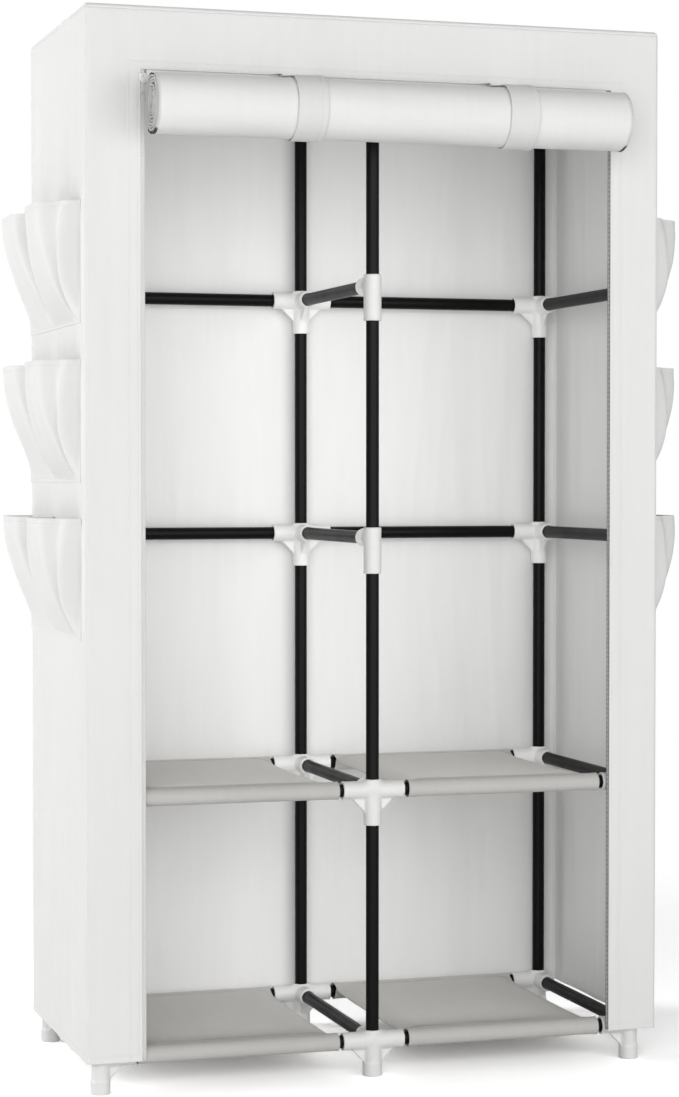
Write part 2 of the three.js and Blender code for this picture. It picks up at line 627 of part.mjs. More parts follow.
// One strip of cloth sewn down at its foot, its ends and between its pockets, and open at the top.
// Built as it lies on the right wall: X is how far it stands out, Y runs to the rear.
function pocketRow(side, rowIndex) {
  const depth = side < 0 ? LEFT_POCKET_DEPTH : RIGHT_POCKET_DEPTH;
  const frontSeam = COVER_FRONT + POCKET_FRONT_MARGIN;
  const rearSeam = COVER_REAR - POCKET_REAR_MARGIN;
  const pocketWidth = (rearSeam - frontSeam) / POCKETS_PER_ROW;
  const stations = [[0, 0]];
  for (let pocket = 0; pocket < POCKETS_PER_ROW; pocket += 1) {
    stations.push(...POCKET_ACROSS_SHARES.slice(1).map((across) => [pocket, across]));
  }
  const bulge = depth - POCKET_FABRIC;
  const reach = (place, up) => {
    const [pocket, across] = stations[Math.min(Math.max(place, 0), stations.length - 1)];
    return bulge * pocketShare(pocket, across, Math.min(Math.max(up, 0), 1));
  };
  const along = ([pocket, across]) => frontSeam + (pocket + across) * pocketWidth;
  const outer = [];
  const inner = [];
  POCKET_UP_SHARES.forEach((up, rowAt) => {
    const nearUps = [POCKET_UP_SHARES[rowAt - 1] ?? up, POCKET_UP_SHARES[rowAt + 1] ?? up];
    const outerRow = [];
    const innerRow = [];
    stations.forEach((station, place) => {
      const before = stations[Math.max(place - 1, 0)];
      const after = stations[Math.min(place + 1, stations.length - 1)];
      const slopeAcross = (reach(place + 1, up) - reach(place - 1, up)) / (along(after) - along(before));
      const slopeUp = (reach(place, nearUps[1]) - reach(place, nearUps[0]))
        / ((nearUps[1] - nearUps[0]) * POCKET_HEIGHT);
      const thickness = POCKET_FABRIC * Math.hypot(1, slopeAcross, slopeUp);
      const out = CLEARANCE + POCKET_FABRIC + reach(place, up);
      outerRow.push(new THREE.Vector3(out, along(station), up * POCKET_HEIGHT));
      innerRow.push(new THREE.Vector3(Math.max(out - thickness, CLEARANCE), along(station), up * POCKET_HEIGHT));
    });
    outer.push(outerRow);
    inner.push(innerRow);
  });
  const geometry = thinSolid(outer, inner);
  if (side < 0) {
    geometry.scale(-1, 1, 1);
    geometry.setIndex([...geometry.index.array].reverse());
    geometry.computeVertexNormals();
  }
  const sideName = side < 0 ? 'left' : 'right';
  const mesh = finished(`pocket_row_${sideName}_${POCKET_ROW_NAMES[rowIndex]}`, geometry, 'whiteCloth');
  const wall = side < 0 ? COVER_LEFT : COVER_RIGHT;
  mesh.position.set(wall, 0, POCKET_LOWEST_SEAM + rowIndex * POCKET_ROW_PITCH);
  return mesh;
}

function pockets() {
  const group = new THREE.Group();
  for (const side of [-1, 1]) {
    POCKET_ROW_NAMES.forEach((name, rowIndex) => group.add(pocketRow(side, rowIndex)));
  }
  return group;
}

// The origin is on the floor, under the middle of the whole outside, pockets and rolled door included
const REACH_LEFT = COVER_LEFT - CLEARANCE - LEFT_POCKET_DEPTH;
const REACH_RIGHT = COVER_RIGHT + CLEARANCE + RIGHT_POCKET_DEPTH;
const REACH_FRONT = ROLL_DEPTH - ROLL_RADIUS - CLEARANCE - STRAP_THICKNESS;
const wardrobe = new THREE.Group();
wardrobe.add(frame(), shelves(), cover(), door(), pockets());
wardrobe.position.set(-(REACH_LEFT + REACH_RIGHT) / 2, -(REACH_FRONT + COVER_REAR) / 2, 0);

export default wardrobe;
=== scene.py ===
"""Looks of a portable fabric wardrobe: painted tubes in moulded connectors, cloth shelves, a sewn cover
with a rolled-up zipped door held by two straps, and pleated pockets on both sides.

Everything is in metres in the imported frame: +X to the right, +Y to the back wall, +Z up.
"""
import logging
import math
from dataclasses import dataclass, field
from enum import Enum
from typing import Any, Iterable, Sequence

import bpy
import numpy as np
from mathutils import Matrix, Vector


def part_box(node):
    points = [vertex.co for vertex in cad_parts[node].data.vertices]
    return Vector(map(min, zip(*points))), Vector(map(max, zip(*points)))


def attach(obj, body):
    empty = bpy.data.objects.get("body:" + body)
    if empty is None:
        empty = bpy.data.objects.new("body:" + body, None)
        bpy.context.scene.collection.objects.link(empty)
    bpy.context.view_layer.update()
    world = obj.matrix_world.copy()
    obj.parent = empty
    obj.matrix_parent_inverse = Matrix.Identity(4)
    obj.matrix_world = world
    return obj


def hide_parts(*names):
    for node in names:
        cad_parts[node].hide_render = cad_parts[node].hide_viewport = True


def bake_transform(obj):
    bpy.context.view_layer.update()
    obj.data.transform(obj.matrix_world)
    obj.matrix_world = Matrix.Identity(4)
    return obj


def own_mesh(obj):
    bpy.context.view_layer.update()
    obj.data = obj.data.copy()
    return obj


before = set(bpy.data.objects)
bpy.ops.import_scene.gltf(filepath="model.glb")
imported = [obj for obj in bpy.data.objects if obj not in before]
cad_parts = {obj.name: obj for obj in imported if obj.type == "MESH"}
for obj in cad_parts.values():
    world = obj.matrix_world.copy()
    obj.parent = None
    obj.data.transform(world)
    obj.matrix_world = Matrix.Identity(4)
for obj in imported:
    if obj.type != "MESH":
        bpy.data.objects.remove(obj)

Array = np.ndarray
Values = Sequence[float] | Array
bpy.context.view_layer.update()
MM = 0.001
LEFT, RIGHT = -1, 1
SIDES = {LEFT: "left", RIGHT: "right"}
logging.basicConfig(level=logging.INFO, format="%(message)s")
log = logging.getLogger("wardrobe")


def mm(*lengths: float) -> tuple[float, ...]:
    """Millimetres as metres."""
    return tuple(length * MM for length in lengths)


class Body(Enum):
    """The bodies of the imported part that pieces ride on."""

    WARDROBE = "wardrobe"
    DOOR = "door"
    LEFT_SLIDER = "left_zip_slider"
    RIGHT_SLIDER = "right_zip_slider"


class Slot(Enum):
    """The record's material slots."""

    TUBE = "tube"
    CONNECTOR = "connector"
    COVER = "cover"
    SHELF = "shelf"
    ZIP_TAPE = "zip_tape"
    ZIP_METAL = "zip_metal"


# Shader maths


class Wire:
    """A shader socket that Python arithmetic works on; each operation adds one Math node."""

    def __init__(self, graph: "Graph", socket: bpy.types.NodeSocket) -> None:
        """Wraps one output socket of a graph."""
        self.graph = graph
        self.socket = socket

    def _maths(self, operation: str, first: Any, second: Any) -> "Wire":
        """Adds a Math node of that operation on two values or wires."""
        return self.graph.node("ShaderNodeMath", {"operation": operation}, {0: first, 1: second})

    def __add__(self, other: Any) -> "Wire":
        """Sum."""
        return self._maths("ADD", self, other)

    def __sub__(self, other: Any) -> "Wire":
        """Difference."""
        return self._maths("SUBTRACT", self, other)

    def __rsub__(self, other: Any) -> "Wire":
        """Difference, with the wire on the right."""
        return self._maths("SUBTRACT", other, self)

    def __mul__(self, other: Any) -> "Wire":
        """Product."""
        return self._maths("MULTIPLY", self, other)

    def sine(self) -> "Wire":
        """Sine of the value."""
        return self._maths("SINE", self, 0.0)

    def larger(self, other: Any) -> "Wire":
        """The larger of two values."""
        return self._maths("MAXIMUM", self, other)

    def above(self, limit: float) -> "Wire":
        """1 where the value is above the limit, otherwise 0."""
        return self._maths("GREATER_THAN", self, limit)


class Graph:
    """A shader node tree that nodes are added to by type."""

    def __init__(self, tree: bpy.types.NodeTree, output: str) -> None:
        """Empties a tree and gives it an output node of that type."""
        self.tree = tree
        self.tree.nodes.clear()
        self.output = tree.nodes.new(output)

    def node(
        self, kind: str, settings: dict | None = None, inputs: dict | None = None, output: int | str = 0,
    ) -> Wire:
        """Adds a node.

        Args:
            kind: the node's type.
            settings: its properties; "stops" gives a colour ramp its (place, grey) pairs.
            inputs: values or wires for its sockets, by name or number.
            output: the name or number of the output that is returned.

        Returns:
            The output socket as a wire.
        """
        made = self.tree.nodes.new(kind)
        for key, value in (settings or {}).items():
            if key == "stops":
                for element, (place, grey) in zip(made.color_ramp.elements, value):
                    element.position = place
                    element.color = (grey, grey, grey, 1.0)
            else:
                setattr(made, key, value)
        for key, value in (inputs or {}).items():
            self.plug(made.inputs[key], value)
        return Wire(self, made.outputs[output])

    def plug(self, socket: bpy.types.NodeSocket, value: Any) -> None:
        """Links a wire to a socket, or sets the socket's own value."""
        if isinstance(value, Wire):
            self.tree.links.new(value.socket, socket)
        else:
            socket.default_value = value

    def show(self, surface: Wire) -> None:
        """Links a shader to the output."""
        self.plug(self.output.inputs[0], surface)


class Recipe(Graph):
    """The node tree of one material, with its Principled shader ready."""

    def __init__(self, name: str) -> None:
        """Makes a material of that name whose Principled shader is shown."""
        self.material = bpy.data.materials.new(name)
        self.material.use_nodes = True
        super().__init__(self.material.node_tree, "ShaderNodeOutputMaterial")
        self.shader = self.tree.nodes.new("ShaderNodeBsdfPrincipled")
        self.show(Wire(self, self.shader.outputs[0]))

    def set(self, **values: Any) -> None:
        """Sets or links sockets of the Principled shader, named with _ for a space."""
        for key, value in values.items():
            self.plug(self.shader.inputs[key.replace("_", " ")], value)

    def place(self, source: str = "Object", scale: Values = (1, 1, 1)) -> Wire:
        """Texture coordinates, stretched by a scale."""
        where = self.node("ShaderNodeTexCoord", output=source)
        return self.node("ShaderNodeMapping", None, {"Vector": where, "Scale": tuple(scale)})

    def noise(self, where: Wire, scale: float, detail: float = 2.0, roughness: float = 0.5) -> Wire:
        """A noise value from 0 to 1."""
        return self.node("ShaderNodeTexNoise", None,
                         {"Vector": where, "Scale": scale, "Detail": detail, "Roughness": roughness})

    def split(self, where: Wire) -> tuple[Wire, Wire, Wire]:
        """The three values of a vector."""
        parts = self.node("ShaderNodeSeparateXYZ", None, {0: where}).socket.node
        return tuple(Wire(self, socket) for socket in parts.outputs)

    def ramp(self, value: Wire, low: float, high: float) -> Wire:
        """0 below low, 1 above high and even between them."""
        return self.node("ShaderNodeValToRGB", {"stops": [(low, 0.0), (high, 1.0)]}, {0: value})

    def mix(self, share: Any, first: Any, second: Any) -> Wire:
        """A colour between two colours, by the node's inputs 6 and 7 and its output 2."""
        return self.node("ShaderNodeMix", {"data_type": "RGBA"}, {0: share, 6: first, 7: second}, 2)

    def bump(self, height: Wire, distance: float) -> Wire:
        """A normal from a height, whose full range is the distance in metres."""
        return self.node("ShaderNodeBump", None, {"Height": height, "Distance": distance, "Strength": 1.0})


def tone(code: str) -> tuple[float, float, float, float]:
    """A colour written as six hexadecimal digits of sRGB, as linear values."""
    parts = [int(code[at:at + 2], 16) / 255 for at in (0, 2, 4)]
    linear = [part / 12.92 if part <= 0.04045 else ((part + 0.055) / 1.055) ** 2.4 for part in parts]
    return (*linear, 1.0)


@dataclass(frozen=True)
class NonWovenCloth:
    """Spun-bonded cloth: matt, with pressed points in rows, drawn-out fibres and faint cloudy patches."""

    name: str
    colour: str
    shade: str
    point_pitch: float = 1.6 * MM
    roughness: float = 0.86

    def material(self) -> bpy.types.Material:
        """Builds the material; its pattern follows the UV map, which is in metres along the cloth."""
        r = Recipe(self.name)
        across, along, _ = r.split(r.place("UV"))
        turns = math.tau / self.point_pitch
        points = (across * turns).sine() * (along * turns).sine()
        fibres = r.noise(r.place("UV", (900, 140, 1)), 1.0, 3.0, 0.6)
        cloud = r.noise(r.place("UV", (7, 2.2, 1)), 1.0, 4.0, 0.55)
        streak = r.noise(r.place("UV", (75, 5, 1)), 1.0, 3.0, 0.6)
        paler = r.mix(r.ramp(cloud * 0.6 + streak * 0.4, 0.3, 0.75), tone(self.shade), tone(self.colour))
        colour = r.mix(r.ramp(fibres, 0.35, 0.7), r.mix(0.25, paler, tone(self.shade)), paler)
        height = points * 0.35 + fibres * 0.9 + streak * 1.4
        r.set(Base_Color=colour, Roughness=self.roughness - fibres * 0.08, Specular_IOR_Level=0.3)
        r.set(Normal=r.bump(height, 0.12 * MM), Sheen_Weight=0.15, Sheen_Roughness=0.5)
        return r.material


@dataclass(frozen=True)
class TubePaint:
    """Black baked paint on steel tube: satin with a slight ripple and faint smudges."""

    name: str = "black_tube_paint"
    colour: str = "0b0b0c"

    def material(self) -> bpy.types.Material:
        """Builds the material on object coordinates."""
        r = Recipe(self.name)
        smudge = r.noise(r.place("Object", (30, 30, 9)), 1.0, 3.0, 0.6)
        ripple = r.noise(r.place("Object"), 700.0, 2.0)
        specks = r.noise(r.place("Object"), 1500.0, 1.0).above(0.72)
        colour = r.mix(specks * 0.35, tone(self.colour), tone("1c1c1e"))
        r.set(Base_Color=colour, Roughness=smudge * 0.16 + 0.3, Specular_IOR_Level=0.12)
        r.set(Normal=r.bump(ripple, 0.03 * MM))
        return r.material


@dataclass(frozen=True)
class MouldedPlastic:
    """White moulded plastic: smooth, with a fine spark-eroded grain and slightly uneven gloss."""

    name: str = "white_moulded_plastic"
    colour: str = "e9e9e8"

    def material(self) -> bpy.types.Material:
        """Builds the material on object coordinates."""
        r = Recipe(self.name)
        grain = r.noise(r.place("Object"), 2200.0, 2.0)
        flow = r.noise(r.place("Object", (22, 22, 60)), 1.0, 3.0)
        colour = r.mix(flow, tone(self.colour), tone("e2e2e0"))
        r.set(Base_Color=colour, Roughness=grain * 0.12 + 0.34, Specular_IOR_Level=0.45)
        r.set(Normal=r.bump(grain + flow * 2.0, 0.02 * MM), Subsurface_Weight=0.08, Subsurface_Scale=0.004)
        return r.material


@dataclass(frozen=True)
class WovenTape:
    """Woven tape or thread: ribs across its length."""

    name: str
    colour: str
    rib_pitch: float = 0.9 * MM

    def material(self) -> bpy.types.Material:
        """Builds the material on the piece's UV map, whose second value runs along the tape."""
        r = Recipe(self.name)
        across, along, _ = r.split(r.place("UV"))
        turns = math.tau / self.rib_pitch
        ribs = (along * turns + across * turns).sine()
        fuzz = r.noise(r.place("Object"), 1800.0, 2.0)
        colour = r.mix(fuzz, tone(self.colour), r.mix(0.12, tone(self.colour), tone("5a5a5a")))
        r.set(Base_Color=colour, Roughness=fuzz * 0.1 + 0.72, Normal=r.bump(ribs * 0.5 + fuzz, 0.08 * MM))
        return r.material


@dataclass(frozen=True)
class Lacquer:
    """Lacquered zinc of sliders and pulls, or nylon of teeth, rubbed to another tone in places."""

    name: str
    colour: str
    rubbed: str
    metallic: float
    roughness: float

    def material(self) -> bpy.types.Material:
        """Builds the material on object coordinates."""
        r = Recipe(self.name)
        rub = r.noise(r.place("Object"), 260.0, 4.0, 0.65)
        colour = r.mix(r.ramp(rub, 0.52, 0.7), tone(self.colour), tone(self.rubbed))
        r.set(Base_Color=colour, Metallic=self.metallic, Roughness=rub * 0.2 + self.roughness - 0.1)
        r.set(Normal=r.bump(rub, 0.05 * MM))
        return r.material


class Finishes:
    """One material for each finish of the wardrobe."""

    def __init__(self) -> None:
        """Builds all the materials."""
        self.cover = NonWovenCloth("white_cover_cloth", "ebebea", "e4e4e3").material()
        # The straps get a darker copy of the cover cloth: painted shade that tones them down to the roll's
        # brightness.
        self.band = NonWovenCloth("strap_cloth_painted_shade", "e3e3e2", "dcdcdb").material()
        self.shelf = NonWovenCloth("grey_shelf_cloth", "c9c7c4", "c0beba", roughness=0.8).material()
        self.tube = TubePaint().material()
        self.connector = MouldedPlastic().material()
        self.tape = WovenTape("white_zip_tape", "e6e6e5").material()
        self.thread = WovenTape("white_sewing_thread", "e6e6e5", 0.5 * MM).material()
        self.grey_thread = WovenTape("grey_sewing_thread", "b3b1ae", 0.5 * MM).material()
        # The dark teeth are the pale teeth painted dark: painted shade, used on the right jamb and on arcs of
        # the roll's outermost turn.
        self.teeth = Lacquer("zip_teeth_painted_shade", "2c2c2d", "464647", 0.1, 0.45).material()
        self.coil = Lacquer("pale_zip_teeth", "d2d2d1", "c2c2c1", 0.0, 0.45).material()
        self.metal = Lacquer("pale_slider_lacquer", "cfcfcf", "bdbdbe", 0.15, 0.38).material()


# Meshes


@dataclass
class Skin:
    """A surface as arrays: points, four-cornered faces and, where it has a pattern, a UV for each point."""

    points: Array
    faces: Array
    uv: Array | None = None

    def placed(self, scale: Values, place: Values) -> "Skin":
        """A copy that is stretched or mirrored by a scale and then moved; a mirrored one is turned back."""
        faces = self.faces[:, ::-1] if np.prod(scale) < 0 else self.faces
        return Skin(self.points * np.array(scale, float) + np.array(place, float), faces, self.uv)


def joined(skins: Iterable[Skin]) -> Skin:
    """Puts several skins into one, without merging any points."""
    parts = list(skins)
    starts = np.cumsum([0] + [len(part.points) for part in parts[:-1]])
    faces = np.concatenate([part.faces + start for part, start in zip(parts, starts)])
    has_uv = all(part.uv is not None for part in parts)
    uv = np.concatenate([part.uv for part in parts]) if has_uv else None
    return Skin(np.concatenate([part.points for part in parts]), faces, uv)


def grid(
    points: Array, uv: Array | None = None, ring: bool = False, turned: bool = False,
    keep: Array | None = None,
) -> Skin:
    """Joins a table of points into quads, each from four neighbours.

    Args:
        points: rows × columns × 3.
        uv: rows × columns × 2, or None.
        ring: True if the last column joins the first.
        turned: True to face the other way.
        keep: which quads are kept, rows - 1 × columns - 1, or None for all.

    Returns:
        The skin, whose faces turn from the column direction to the row direction.
    """
    if turned:
        points, uv = points[:, ::-1], None if uv is None else uv[:, ::-1]
    rows, columns = points.shape[:2]
    index = np.arange(rows * columns).reshape(rows, columns)
    if ring:
        index = np.concatenate([index, index[:, :1]], axis=1)
    quads = np.stack([index[:-1, :-1], index[:-1, 1:], index[1:, 1:], index[1:, :-1]], axis=-1)
    quads = quads.reshape(-1, 4) if keep is None else quads[keep]
    return Skin(points.reshape(-1, 3), quads, None if uv is None else uv.reshape(-1, 2))


def capped(tube: Skin, sides: int) -> Skin:
    """Closes both ends of a tube whose rings have an even number of sides, with quads across each end."""
    steps = np.arange(sides // 2 - 1)
    cap = np.stack([steps, steps + 1, sides - 2 - steps, sides - 1 - steps], axis=1)
    faces = np.concatenate([tube.faces, cap[:, ::-1], cap + len(tube.points) - sides])
    return Skin(tube.points, faces, tube.uv)


def tidy(skin: Skin) -> Skin:
    """Leaves out the points that no face uses."""
    used = np.unique(skin.faces)
    fresh = np.zeros(len(skin.points), int)
    fresh[used] = np.arange(len(used))
    return Skin(skin.points[used], fresh[skin.faces], None if skin.uv is None else skin.uv[used])


def unit(vectors: Array) -> Array:
    """Vectors of length 1 in the same directions."""
    return vectors / np.maximum(np.linalg.norm(vectors, axis=-1, keepdims=True), 1e-12)


def lengths_along(path: Array) -> Array:
    """How far along a path each of its points is."""
    return np.concatenate([[0.0], np.cumsum(np.linalg.norm(np.diff(path, axis=0), axis=1))])


def sampled(at: Array, far: Array, table: Array) -> Array:
    """Rows of a table at distances between those of its own rows."""
    return np.stack([np.interp(at, far, column) for column in table.T], axis=1)


def smooth_step(value: Array, low: float, high: float) -> Array:
    """0 below low, 1 above high, and 3t² - 2t³ between them."""
    share = np.clip((value - low) / (high - low), 0.0, 1.0)
    return share * share * (3 - 2 * share)


def stations(start: float, end: float, pitch: float) -> Array:
    """Even places from start to end, about a pitch apart."""
    return np.linspace(start, end, max(int(round(abs(end - start) / pitch)), 1) + 1)


def repeated(template: Skin, origins: Array, axes: Array) -> Skin:
    """Copies a small skin to many places.

    Args:
        template: the small skin, about its own origin.
        origins: n × 3 places.
        axes: n × 3 × 3, whose rows are where the template's X, Y and Z point.

    Returns:
        All the copies as one skin.
    """
    points = np.einsum("pk,nkj->npj", template.points, axes) + origins[:, None, :]
    count = len(template.points)
    faces = template.faces[None] + (np.arange(len(origins)) * count)[:, None, None]
    uv = None if template.uv is None else np.tile(template.uv, (len(origins), 1))
    return Skin(points.reshape(-1, 3), faces.reshape(-1, 4), uv)


def make_object(name: str, skin: Skin, material: bpy.types.Material, smooth: bool = True) -> bpy.types.Object:
    """Turns a skin into a Blender object at the origin."""
    mesh = bpy.data.meshes.new(name)
    mesh.vertices.add(len(skin.points))
    mesh.vertices.foreach_set("co", skin.points.astype(np.float32).ravel())
    corners = skin.faces.reshape(-1)
    mesh.loops.add(len(corners))
    mesh.loops.foreach_set("vertex_index", corners.astype(np.int32))
    mesh.polygons.add(len(skin.faces))
    mesh.polygons.foreach_set("loop_start", np.arange(0, len(corners), 4, dtype=np.int32))
    mesh.polygons.foreach_set("use_smooth", np.full(len(skin.faces), smooth))
    if skin.uv is not None:
        layer = mesh.uv_layers.new(name="cloth")
        layer.data.foreach_set("uv", skin.uv[corners].astype(np.float32).ravel())
    mesh.update(calc_edges=True)
    mesh.validate()
    mesh.materials.append(material)
    made = bpy.data.objects.new(name, mesh)
    bpy.context.scene.collection.objects.link(made)
    return made


def thicken(sheet: bpy.types.Object, thickness: float, side: float) -> None:
    """Adds a wall to an open sheet: behind its faces at side -1, half on each side at 0."""
    wall = sheet.modifiers.new("cloth_thickness", "SOLIDIFY")
    wall.thickness = thickness
    wall.offset = side
    wall.use_even_offset = False


def make_piece(
    name: str, skin: Skin, finish: bpy.types.Material, nodes: Sequence[str] = (),
    thickness: float = 0.0, side: float = -1.0, body: Body = Body.WARDROBE, smooth: bool = True,
) -> bpy.types.Object:
    """Makes one piece of the wardrobe.

    Args:
        name: the piece's name.
        skin: its surface.
        finish: its material.
        nodes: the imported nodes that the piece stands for.
        thickness: a wall to add to an open sheet, in metres, or 0.
        side: where that wall goes: -1 behind the faces, 0 half on each side.
        body: the body that the piece rides on.
        smooth: False for flat faces.

    Returns:
        The piece's object.
    """
    piece = make_object(name, skin, finish, smooth)
    if thickness:
        thicken(piece, thickness, side)
    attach(piece, body.value)
    if nodes:
        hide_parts(*nodes)
    log.info("%s: %d points, %d faces", name, len(piece.data.vertices), len(piece.data.polygons))
    return piece


def closed(rings: Array) -> Skin:
    """Joins rings of points into a skin whose last ring meets its first."""
    skin = grid(np.concatenate([rings, rings[:1]]), ring=True)
    points = rings.reshape(-1, 3)
    return Skin(points, skin.faces % len(points))


def lathe(profile: Array, axis: int, centre: Values, sides: int) -> Skin:
    """Turns a closed profile about an axis through a centre.

    Args:
        profile: n × 2 of (radius, place along the axis), going round with its inside on the left.
        axis: 0, 1 or 2.
        centre: a point on the axis.
        sides: how many faces go round.

    Returns:
        A closed ring-shaped skin.
    """
    angle = np.linspace(0, math.tau, sides, endpoint=False)
    rings = np.zeros((len(profile), sides, 3))
    rings[..., axis] = profile[:, 1:]
    rings[..., (axis + 1) % 3] = profile[:, :1] * np.cos(angle)
    rings[..., (axis + 2) % 3] = profile[:, :1] * np.sin(angle)
    return closed(rings + np.array(centre, float))


def stacked(loops: Sequence[tuple[Array, float]]) -> Array:
    """Rings of points from loops in X and Y, each at its own height."""
    return np.stack([np.column_stack([loop, np.full(len(loop), height)]) for loop, height in loops])


def prism(outline: Array, thickness: float, edge: float) -> Skin:
    """A flat plate with rounded edges from an outline with an even number of points, in X and Y.

    Each loop is the outline moved inwards along its corners' normals: by the edge radius on the two
    faces and by nothing between them.
    """
    around = np.roll(outline, -1, axis=0) - np.roll(outline, 1, axis=0)
    inward = unit(np.stack([-around[:, 1], around[:, 0]], axis=1))
    half = thickness / 2
    corner = edge * (1 - math.sqrt(0.5))
    levels = [(edge, -half), (corner, -half + corner), (0.0, -half + edge), (0.0, half - edge),
              (corner, half - corner), (edge, half)]
    loops = [(outline + inward * inset, height) for inset, height in levels]
    return capped(grid(stacked(loops), ring=True), len(outline))


# Sewing


@dataclass(frozen=True)
class Stitching:
    """A row of lock stitches: short arched threads that dip into the cloth at both ends."""

    pitch: float = 3.6 * MM
    length: float = 2.7 * MM
    radius: float = 0.28 * MM
    sides: int = 6

    def template(self) -> Skin:
        """One stitch along X that bows up along Z: four rings whose radius is smaller at the ends."""
        place = np.array([-0.5, -0.3, 0.3, 0.5]) * self.length
        girth = np.array([0.35, 1.0, 1.0, 0.35]) * self.radius
        lift = np.array([-0.6, 0.35, 0.35, -0.6]) * self.radius
        angle = np.linspace(0, math.tau, self.sides, endpoint=False)
        points = np.stack([
            np.repeat(place[:, None], self.sides, 1),
            girth[:, None] * np.cos(angle),
            lift[:, None] + girth[:, None] * np.sin(angle),
        ], axis=-1)
        return capped(grid(points, points[..., 1::-1], ring=True), self.sides)

    def along(self, path: Array, outward: Values) -> Skin:
        """Sews along a path.

        Args:
            path: n × 3 points on the cloth's face.
            outward: the cloth's outward direction, one for all or one for each point.

        Returns:
            All the stitches of the row as one skin.
        """
        normals = np.broadcast_to(np.array(outward, float), path.shape)
        far = lengths_along(path)
        centres = np.arange(self.pitch / 2, far[-1], self.pitch)
        half = self.length / 2
        forward = unit(sampled(centres + half, far, path) - sampled(centres - half, far, path))
        across = unit(np.cross(unit(sampled(centres, far, normals)), forward))
        axes = np.stack([forward, across, np.cross(forward, across)], axis=1)
        return repeated(self.template(), sampled(centres, far, path), axes)


@dataclass(frozen=True)
class Creases:
    """Soft folds left in hanging cloth: narrow ridges and grooves, and long shallow swells."""

    seed: int
    count: int = 30
    depth: float = 0.9 * MM
    width: tuple[float, float] = mm(6, 22)
    length: tuple[float, float] = (0.10, 0.45)
    lean: float = 0.05
    swell: float = 1.2 * MM
    span: tuple[float, float] = (-0.47, 0.46)
    rise: tuple[float, float] = (0.05, 1.62)

    def height(self, across: Array, up: Array) -> Array:
        """How far the cloth stands out at each place.

        Each fold adds depth × exp(-(offset / width)²) × exp(-(rise / length)⁴), where offset is measured
        from a line that leans a little. Each of six swells adds a cosine of a random low frequency.
        """
        draw = np.random.default_rng(self.seed)
        (low_a, high_a), (low_u, high_u) = self.span, self.rise
        total = np.zeros(np.broadcast(across, up).shape)
        for _ in range(self.count):
            centre_a = draw.uniform(low_a, high_a)
            centre_u = draw.uniform(low_u, high_u)
            width = draw.uniform(*self.width)
            length = draw.uniform(*self.length)
            lean = draw.normal(0, self.lean)
            depth = self.depth * draw.choice([-1, 1]) * draw.uniform(0.3, 1.0)
            offset = across - centre_a - lean * (up - centre_u)
            total = total + depth * np.exp(-(offset / width) ** 2) * np.exp(-((up - centre_u) / length) ** 4)
        for _ in range(6):
            turns_a = draw.uniform(0.5, 3.0) / (high_a - low_a)
            turns_u = draw.uniform(0.2, 1.2) / (high_u - low_u)
            phase = draw.uniform(0, math.tau)
            total = total + self.swell / 6 * np.cos(math.tau * (turns_a * across + turns_u * up) + phase)
        return total


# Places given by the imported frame


@dataclass(frozen=True)
class Layout:
    """The frame's columns, rows and levels, and the planes of the cover and of its door opening."""

    columns: tuple[float, ...]
    rows: tuple[float, float]
    levels: tuple[float, ...]
    left: float
    right: float
    front: float
    rear: float
    hem: float
    top: float
    opening_left: float
    opening_right: float
    opening_top: float

    COLUMN_NAMES = ("left", "middle", "right")
    ROW_NAMES = ("front", "rear")
    BAY_NAMES = ("left", "right")
    CHAIN_PROUD = 1.0 * MM
    SEAM_OVERLAP = 12.0 * MM

    @classmethod
    def from_frame(cls) -> "Layout":
        """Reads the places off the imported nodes' boxes."""
        def middle(node: str, axis: int) -> float:
            """The middle of a node's box on an axis."""
            low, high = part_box(node)
            return (low[axis] + high[axis]) / 2

        tape_left, tape_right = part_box("zip_tape_left"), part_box("zip_tape_right")
        return cls(
            columns=tuple(middle(f"upright_front_{name}", 0) for name in cls.COLUMN_NAMES),
            rows=(middle("upright_front_left", 1), middle("upright_rear_left", 1)),
            levels=tuple(middle(f"rear_tube_left_level_{level}", 2) for level in range(5)),
            left=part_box("cover_left")[0][0],
            right=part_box("cover_right")[1][0],
            front=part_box("cover_front_border")[0][1],
            rear=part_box("cover_back")[1][1],
            hem=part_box("cover_left")[0][2],
            top=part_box("cover_top")[1][2],
            opening_left=tape_left[1][0] - cls.CHAIN_PROUD,
            opening_right=tape_right[0][0] + cls.CHAIN_PROUD,
            opening_top=tape_left[1][2] - cls.SEAM_OVERLAP,
        )

    def has_side_tubes(self, level: int, row: int) -> bool:
        """True where a level has tubes between the columns: all at the rear, three at the front."""
        return row == 1 or level in (0, 1, len(self.levels) - 1)

    def edge(self, side: int) -> float:
        """The left or right edge of the opening, in the middle of its zip's chain."""
        return self.opening_left if side == LEFT else self.opening_right

    def bay(self, index: int) -> tuple[float, float]:
        """The middle and half the width of a bay between two columns."""
        start, end = self.columns[index:index + 2]
        return (start + end) / 2, (end - start) / 2


@dataclass
class Assembly:
    """A sub-assembly: its places come from the layout and its materials from the finishes."""

    layout: Layout
    finishes: Finishes


# Tube frame


